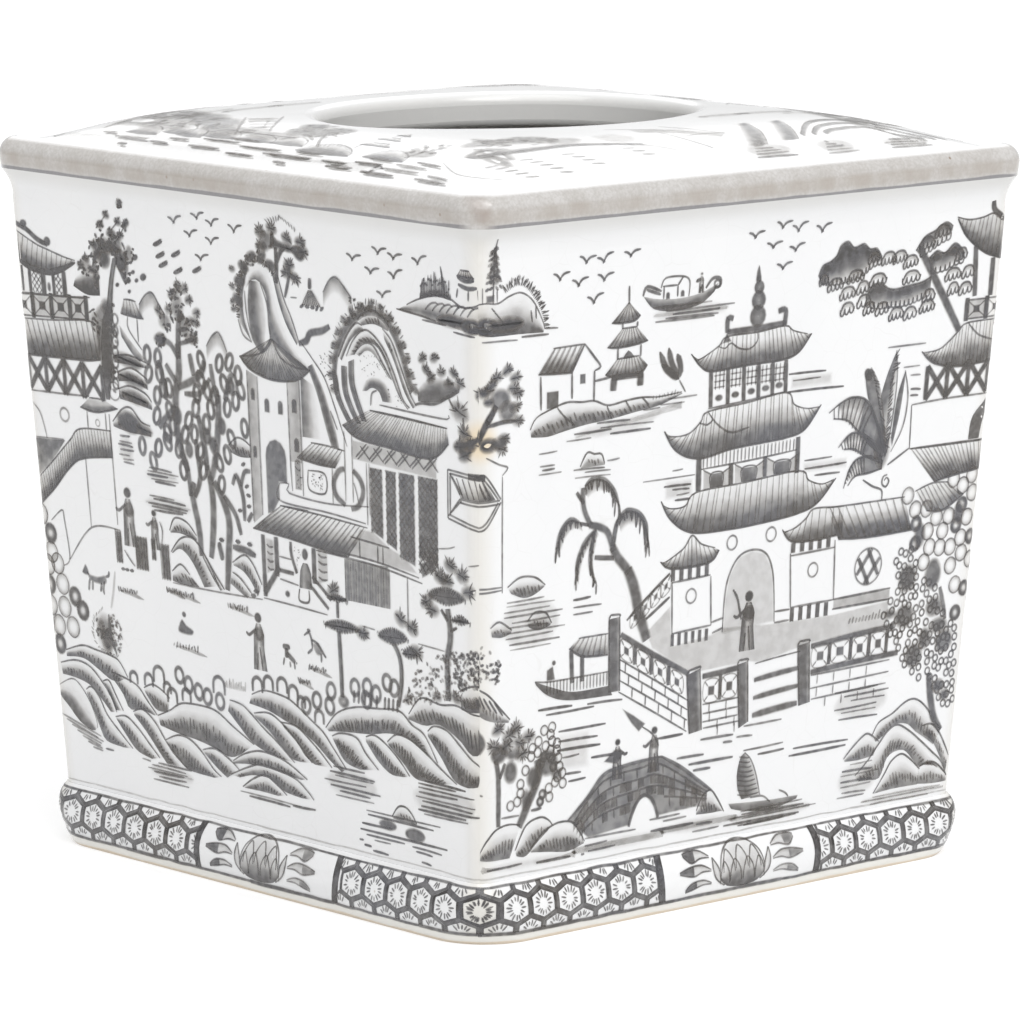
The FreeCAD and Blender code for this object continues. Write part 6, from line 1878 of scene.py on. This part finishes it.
def softRocks(rocks, dark, outline):  # rounded and pale above, grey towards the rim
    for u, v, wide, tall in rocks:
        crown = [(u - wide, v), (u - wide * 0.6, v + tall * 0.7), (u, v + tall),
                 (u + wide * 0.7, v + tall * 0.6), (u + wide, v)]
        shade(crown, [(u - wide, v - 0.6), (u, v - 1), (u + wide, v - 0.6)],
              (0.0, dark * 0.2, dark * 0.5, dark, dark * 0.8))
        line(crown, 0.5, outline, 0.2)


def paintTopOfGarden():
    freshPaper()
    blot(-14, 9.6, 52, 4.4, 0.07, 3.0)
    # wooded hill and the rocks at its foot
    softHills(((-54, 27, 6, 4, 0.26), (-46, 26, 8, 5, 0.34), (-37, 24, 8, 5, 0.36), (-28, 22, 7, 4, 0.36),
               (-48, 19, 7, 4, 0.3), (-39, 17, 7, 3, 0.26), (-20, 18, 7, 3, 0.3), (-6, 18, 7, 2.4, 0.26)))
    softRocks(((-40, 12.4, 5, 4), (-31, 14, 4, 5), (-26, 13.4, 4, 4), (-18, 14.4, 6, 4), (-7, 14.6, 6, 3.4),
               (3, 14.8, 5, 4)), 0.56, 0.3)
    stones([(-57, 26), (-50, 31), (-36, 27), (-24, 22), (-30, 17), (-48, 17)], 1.6, 80, 0.3)
    # stepped bridge, tree and huts
    wash([(-15, 16), (-25, 27), (-20, 32), (-10, 21)], 0.18, 1.6, False)
    for number in range(5):
        line([(-24 + number * 2.4, 27 - number * 2), (-18 + number * 2.2, 30 - number * 2.2)], 1.0, 0.34)
    lines([[(-26, 28), (-15, 16)], [(-20, 33), (-9, 20)]], 0.7, 0.34)
    for u, v, wide, tall in ((1, 23, 7, 4), (-3, 27, 4, 3), (6, 26, 4, 3)):
        blot(u, v, wide * 1.1, tall * 1.1, 0.5, 1.8)
    stones([(-6, 23), (-6, 30), (6, 29.4), (11, 21), (4, 19)], 1.4, 50, 0.34)
    lines([[(6, 22), (9, 18), (12, 15)], [(2, 21), (7, 18)]], 0.9, 0.4)
    softRocks(((16, 13, 8, 4.4), (33.6, 13.6, 6, 4.4)), 0.7, 0.36)
    needles([(24, 14), (18, 17.4), (10, 15.6)], 1.6, 0.34, 0.9)
    for left, right, low in ((20, 29, 18), (20, 27, 22.6), (21, 25, 27)):
        roof([(left + 2, low + 3), (right - 2, low + 3)], [(left, low + 1), (right, low + 1)], 6, 0.42,
             0.06, 0.5, 0, 0.3)
        lines([[(left + 1, low + 1), (left + 1, low - 1.4)],
               [(right - 1, low + 1), (right - 1, low - 1.4)]], 0.5, 0.3)
    lines([[(38, 15), (38.6, 19), (36, 23)], [(38.6, 18), (40, 21.6), (40, 25)]], 0.8, 0.34)
    stones([(34, 18), (35, 23), (39, 26), (42, 22), (41, 17)], 1.2, 26, 0.36)
    softHills(((43, 33, 5, 2, 0.22), (52, 26, 5, 2.4, 0.26), (56, 23, 4, 2, 0.26), (39, 18, 4, 2.4, 0.22)))
    line([(48, 16), (56, 12.6), (62, 14), (66, 18)], 0.5, 0.26, 0.2)
    # broken lines of water in front
    for start, end, v in ((-46, -35, 10), (-42, -39, 7.4), (-52, -47, 11.6), (-34, -28, 9.4),
            (-22, -12, 9.6), (-21, -9, 12.8), (-14, -5, 14.4), (-9, 0, 8.6), (-8, 5, 11.6), (1, 16, 10),
            (7, 11, 7.6), (19, 27, 10), (28, 36, 11), (33, 43, 8), (30, 37, 13), (37, 48, 10), (39, 48, 12),
            (49, 58, 8), (51, 57, 9.6), (9, 17, 12), (-30, -24, 11.4), (43, 50, 14), (22, 30, 8.4)):
        waterLines([(start, end, v), (start + 2, end + 1, v - 0.8)], 0.6, 0.34)
        wash(oval((start + end) / 2, v - 0.3, (end - start) * 0.5, 1.2), 0.08, 0.8)


def paintTopOfPagoda():
    freshPaper()
    # leaning tree with its shore at the left
    softHills(((-44, 33, 6, 3, 0.26), (-36, 31, 6, 4, 0.3), (-50, 26, 5, 2.4, 0.3), (-30, 27, 5, 3, 0.22),
               (-17, 25, 5, 4, 0.14)))
    stones([(-52, 27), (-45, 36), (-35, 35.4), (-27, 29), (-32, 25), (-44, 26)], 1.6, 50, 0.3)
    shade([(-56, 27), (-45, 25.4), (-30, 24.4), (-15, 20)],
          [(-55, 23), (-44, 21.4), (-30, 21.6), (-15, 18.6)], (0.0, 0.32, 0.56, 0.4, 0.0))
    line([(-54, 25), (-44, 23), (-30, 23), (-16, 19), (-10, 14)], 0.9, 0.34, 0.2)
    for start, number in ((-58, 5), (-49, 5), (-38, 4), (-22, 3)):
        for step in range(number):
            u, v = start + step * 0.9, 18 - step * 1.9
            line([(u, v), (u + 3.4, v - 0.4)], 0.8, 0.34, 0.2)
    # boat with slack sails
    shade([(-8, 32), (0, 30), (10, 22)], [(-8, 27), (-2, 24), (6, 19)], (0.0, 0.16, 0.26, 0.0))
    lines([[(1, 32), (6, 26), (10, 21)], [(-4, 27), (-3, 20), (-1, 14)], [(-12, 34), (-4, 30), (4, 24)],
           [(-1, 22), (4, 22.6), (10, 22)]], 0.7, 0.32)
    # posts and the arches of a bridge
    for base, top, wide in (((10, 13.4), (20, 28), 3.6), ((20, 14.4), (29, 28), 3.2)):
        left = [(base[0] - wide, base[1]), ((base[0] + top[0]) / 2 - wide, (base[1] + top[1]) / 2),
                (top[0] - 1.6, top[1])]
        right = [(base[0] + wide, base[1]), ((base[0] + top[0]) / 2 + wide, (base[1] + top[1]) / 2),
                 (top[0] + 1.6, top[1])]
        shade(left, right, (0.0, 0.06, 0.4, 0.62, 0.2))
        line(right, 0.5, 0.26, 0.2)
    for size in (0.0, 3.2, 6.4):
        outer = [(26 + size, 17.4), (36, 25.4 - size), (46, 26 - size), (56 - size, 17 - size * 0.4),
                 (62 - size, 12)]
        shade(outer, [(u - 0.2, v - 2.4) for u, v in outer], (0.0, 0.56, 0.4, 0.0))
        line([(u - 0.1, v - 0.6) for u, v in outer], 0.6, 0.28, 0.2)
    for u, v, wide, tall, ink in ((26, 39, 8, 2.4, 0.26), (37, 39, 9, 2.2, 0.28), (47, 36, 8, 2.0, 0.2),
            (58, 22, 6, 3, 0.16)):
        blot(u, v, wide, tall, ink, tall * 0.9)
    for left, right, low, count in ((6, 17, 8.6, 5), (25, 34, 7.8, 5), (43, 55, 7.8, 4)):
        waterLines([(left + number * 0.8, right - number * 1.2,
                low + number * 1.1) for number in range(count)], 0.6, 0.34)
        wash(oval((left + right) / 2, low + count * 0.5, (right - left) * 0.6, count * 0.7), 0.16, 1.6)


# hanging the sheets on the cover

hangLook = {"stand": 20.0, "cornerTurn": 6.0, "wallFoot": 65.0, "wallSlope": 0.0603, "paperHalf": 72.0,
            "topEdge": 76.0, "over": 150.0}


def treeOf(prefix):  # the outer skin that a sheet is pressed on to
    corners, faces = [], []
    for name, node in nodes.items():
        if name.startswith(prefix):
            first = len(corners)
            corners += [vertex.co.copy() for vertex in node.data.vertices]
            faces += [[first + number for number in face.vertices] for face in node.data.polygons]
    return BVHTree.FromPolygons(corners, faces)


def onWall(u, v):  # a spot on the wall and the way out of it, up to the corner
    half = hangLook["wallFoot"] + hangLook["wallSlope"] * v
    along = min(max(u / hangLook["paperHalf"], -1.0), 1.0) * half
    turn = max(abs(along) - half + hangLook["cornerTurn"], 0.0) / hangLook["cornerTurn"] * math.pi / 4
    spot = Vector((along, -half, v))
    return spot, Vector((math.copysign(math.sin(turn), along), -math.cos(turn), 0))


def onBelt(u, v):
    past = max(0.0, abs(u) - beltLook["flat"]) / beltLook["corner"]
    out = Vector((math.copysign(math.sin(past), u), -math.cos(past), 0))
    spot = Vector((math.copysign(min(abs(u), beltLook["flat"]), u), -beltLook["flat"], v))
    return spot + out * beltLook["corner"], out


def onTop(u, v):
    return Vector((u, v - hangLook["topEdge"], hangLook["over"])), Vector((0, 0, 1))


def hang(name, spotOf, tree, side):
    bm = bmesh.new()
    for layer in ("ink", "side"):
        bm.verts.layers.float.new(layer)
    for page in paper["pages"]:
        sheet = bpy.data.meshes.new("page")
        page.to_mesh(sheet)
        bm.from_mesh(sheet)
        bpy.data.meshes.remove(sheet)
    outer = hangLook["paperHalf"]
    past = [face for face in bm.faces if min(abs(vert.co.x) for vert in face.verts) > outer]
    bmesh.ops.delete(bm, geom=past, context="FACES")
    bm.normal_update()
    bmesh.ops.reverse_faces(bm, faces=[face for face in bm.faces if face.normal.z < 0])
    turn = Matrix.Rotation(sides.index(side) * math.pi / 2, 3, "Z")
    for vert in bm.verts:
        spot, out = spotOf(vert.co.x, vert.co.y)
        spot, out = turn @ spot, turn @ out
        hit, normal = tree.ray_cast((spot + out * hangLook["stand"]) * mm, -out)[:2]
        if hit is None:
            hit, normal = tree.find_nearest(spot * mm)[:2]
        vert.co = hit + normal * vert.co.z * mm
    mesh = bpy.data.meshes.new(name)
    bm.to_mesh(mesh)
    print(name, len(bm.verts), "points")
    bm.free()
    mesh.materials.append(greyInk)
    piece = bpy.data.objects.new(name, mesh)
    bpy.context.scene.collection.objects.link(piece)
    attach(piece, "root")


wallSkin = treeOf("wall_")
beltSkin = treeOf("belt_")
topSkin = treeOf("top_panel")
paintings = [
    {"sides": ("left", "right"), "side": paintGardenSide, "top": paintTopOfGarden,
     "panel": (-17.2, 25.9), "lotus": 2.6},
    {"sides": ("front", "back"), "side": paintPagodaSide, "top": paintTopOfPagoda,
     "panel": (-20.0, 23.2), "lotus": 2.1},
]
for look in paintings:
    look["side"]()
    for side in look["sides"]:
        hang("painting_" + side, onWall, wallSkin, side)
    look["top"]()
    for side in look["sides"]:
        hang("top_painting_" + side, onTop, topSkin, side)
    paintBelt(look["panel"], look["lotus"])
    for side in look["sides"]:
        hang("belt_painting_" + side, onBelt, beltSkin, side)
print("painted")


# floor, light and camera

def makeStage():
    floorLook = {"reach": 6.0, "seen": (0.5, 0.5, 0.5, 1), "glow": (0.56, 0.56, 0.56, 1), "rough": 0.9,
                 "felt": (0.80, 0.80, 0.80, 1), "dark": (0, 0, 0, 1)}
    bm = bmesh.new()
    bmesh.ops.create_grid(bm, x_segments=8, y_segments=8, size=floorLook["reach"])
    mesh = bpy.data.meshes.new("studioFloor")
    bm.to_mesh(mesh)
    bm.free()
    floor = bpy.data.objects.new("studioFloor", mesh)
    bpy.context.scene.collection.objects.link(floor)
    material, tree, shader = newMaterial("studioFloor")
    path = put(tree, "ShaderNodeLightPath").outputs
    seen = calc(tree, "MAXIMUM", path["Is Camera Ray"], path["Is Glossy Ray"])
    tree.links.new(tint(tree, seen, floorLook["felt"], floorLook["seen"]), shader.inputs["Base Color"])
    tree.links.new(tint(tree, seen, floorLook["dark"], floorLook["glow"]), shader.inputs["Emission Color"])
    under = put(tree, "ShaderNodeNewGeometry").outputs["Backfacing"]
    tree.links.new(calc(tree, "SUBTRACT", 1.0, under), shader.inputs["Alpha"])  # seen through from below
    shader.inputs["Emission Strength"].default_value = 1.0
    shader.inputs["Roughness"].default_value = floorLook["rough"]
    shader.inputs["Specular IOR Level"].default_value = 0.0
    mesh.materials.append(material)


def facing(azimuth, elevation):
    az, el = math.radians(azimuth), math.radians(elevation)
    return Vector((math.sin(az) * math.cos(el), -math.cos(az) * math.cos(el), math.sin(el)))


lightLook = {
    "aim": (0, 0, 0.07), "room": (1, 1, 1, 1), "roomPower": 0.71, "skySpread": 60, "keySize": 0.5,
    "backSpread": 50, "sky": {"azimuth": -25, "elevation": 55, "distance": 3.0, "power": 1.55},
    "key": {"azimuth": 0, "elevation": 52, "distance": 1.5, "power": 2.0},
    "back": {"azimuth": 140, "elevation": 38, "distance": 3.0, "power": 0.4},
}


def hangLamp(name, kind, azimuth, elevation, distance, power):
    light = bpy.data.lights.new(name, kind)
    light.energy = power
    lamp = bpy.data.objects.new(name, light)
    back = facing(azimuth, elevation)
    turn = back.to_track_quat("Z", "Y").to_matrix().to_4x4()
    lamp.matrix_world = Matrix.Translation(Vector(lightLook["aim"]) + back * distance) @ turn
    bpy.context.scene.collection.objects.link(lamp)
    return light


def makeLight():
    world = bpy.data.worlds.new("studio")
    bpy.context.scene.world = world
    world.use_nodes = True
    ground = world.node_tree.nodes["Background"]
    ground.inputs["Color"].default_value = lightLook["room"]
    ground.inputs["Strength"].default_value = lightLook["roomPower"]
    hangLamp("skyGlow", "SUN", **lightLook["sky"]).angle = math.radians(lightLook["skySpread"])
    hangLamp("keyBox", "AREA", **lightLook["key"]).size = lightLook["keySize"]
    hangLamp("backGlow", "SUN", **lightLook["back"]).angle = math.radians(lightLook["backSpread"])


def makeCamera():
    view = {"azimuth": -41.94, "elevation": 9.35, "distance": 1.2597, "aimHeight": 0.0704,
            "lens": 213.6, "roll": 0.15, "shift": 0.0055}
    camera = bpy.data.cameras.new("photoView")
    camera.lens = view["lens"]
    camera.sensor_width = 36
    camera.shift_x = view["shift"]
    holder = bpy.data.objects.new("photoView", camera)
    back = facing(view["azimuth"], view["elevation"])
    turn = back.to_track_quat("Z", "Y").to_matrix().to_4x4() @ Matrix.Rotation(math.radians(view["roll"]),
            4, "Z")
    holder.matrix_world = Matrix.Translation(Vector((0, 0,
            view["aimHeight"])) + back * view["distance"]) @ turn
    bpy.context.scene.collection.objects.link(holder)
    bpy.context.scene.camera = holder


makeStage()
makeLight()
makeCamera()
bpy.context.scene.view_settings.view_transform = "Standard"
print("stage set")
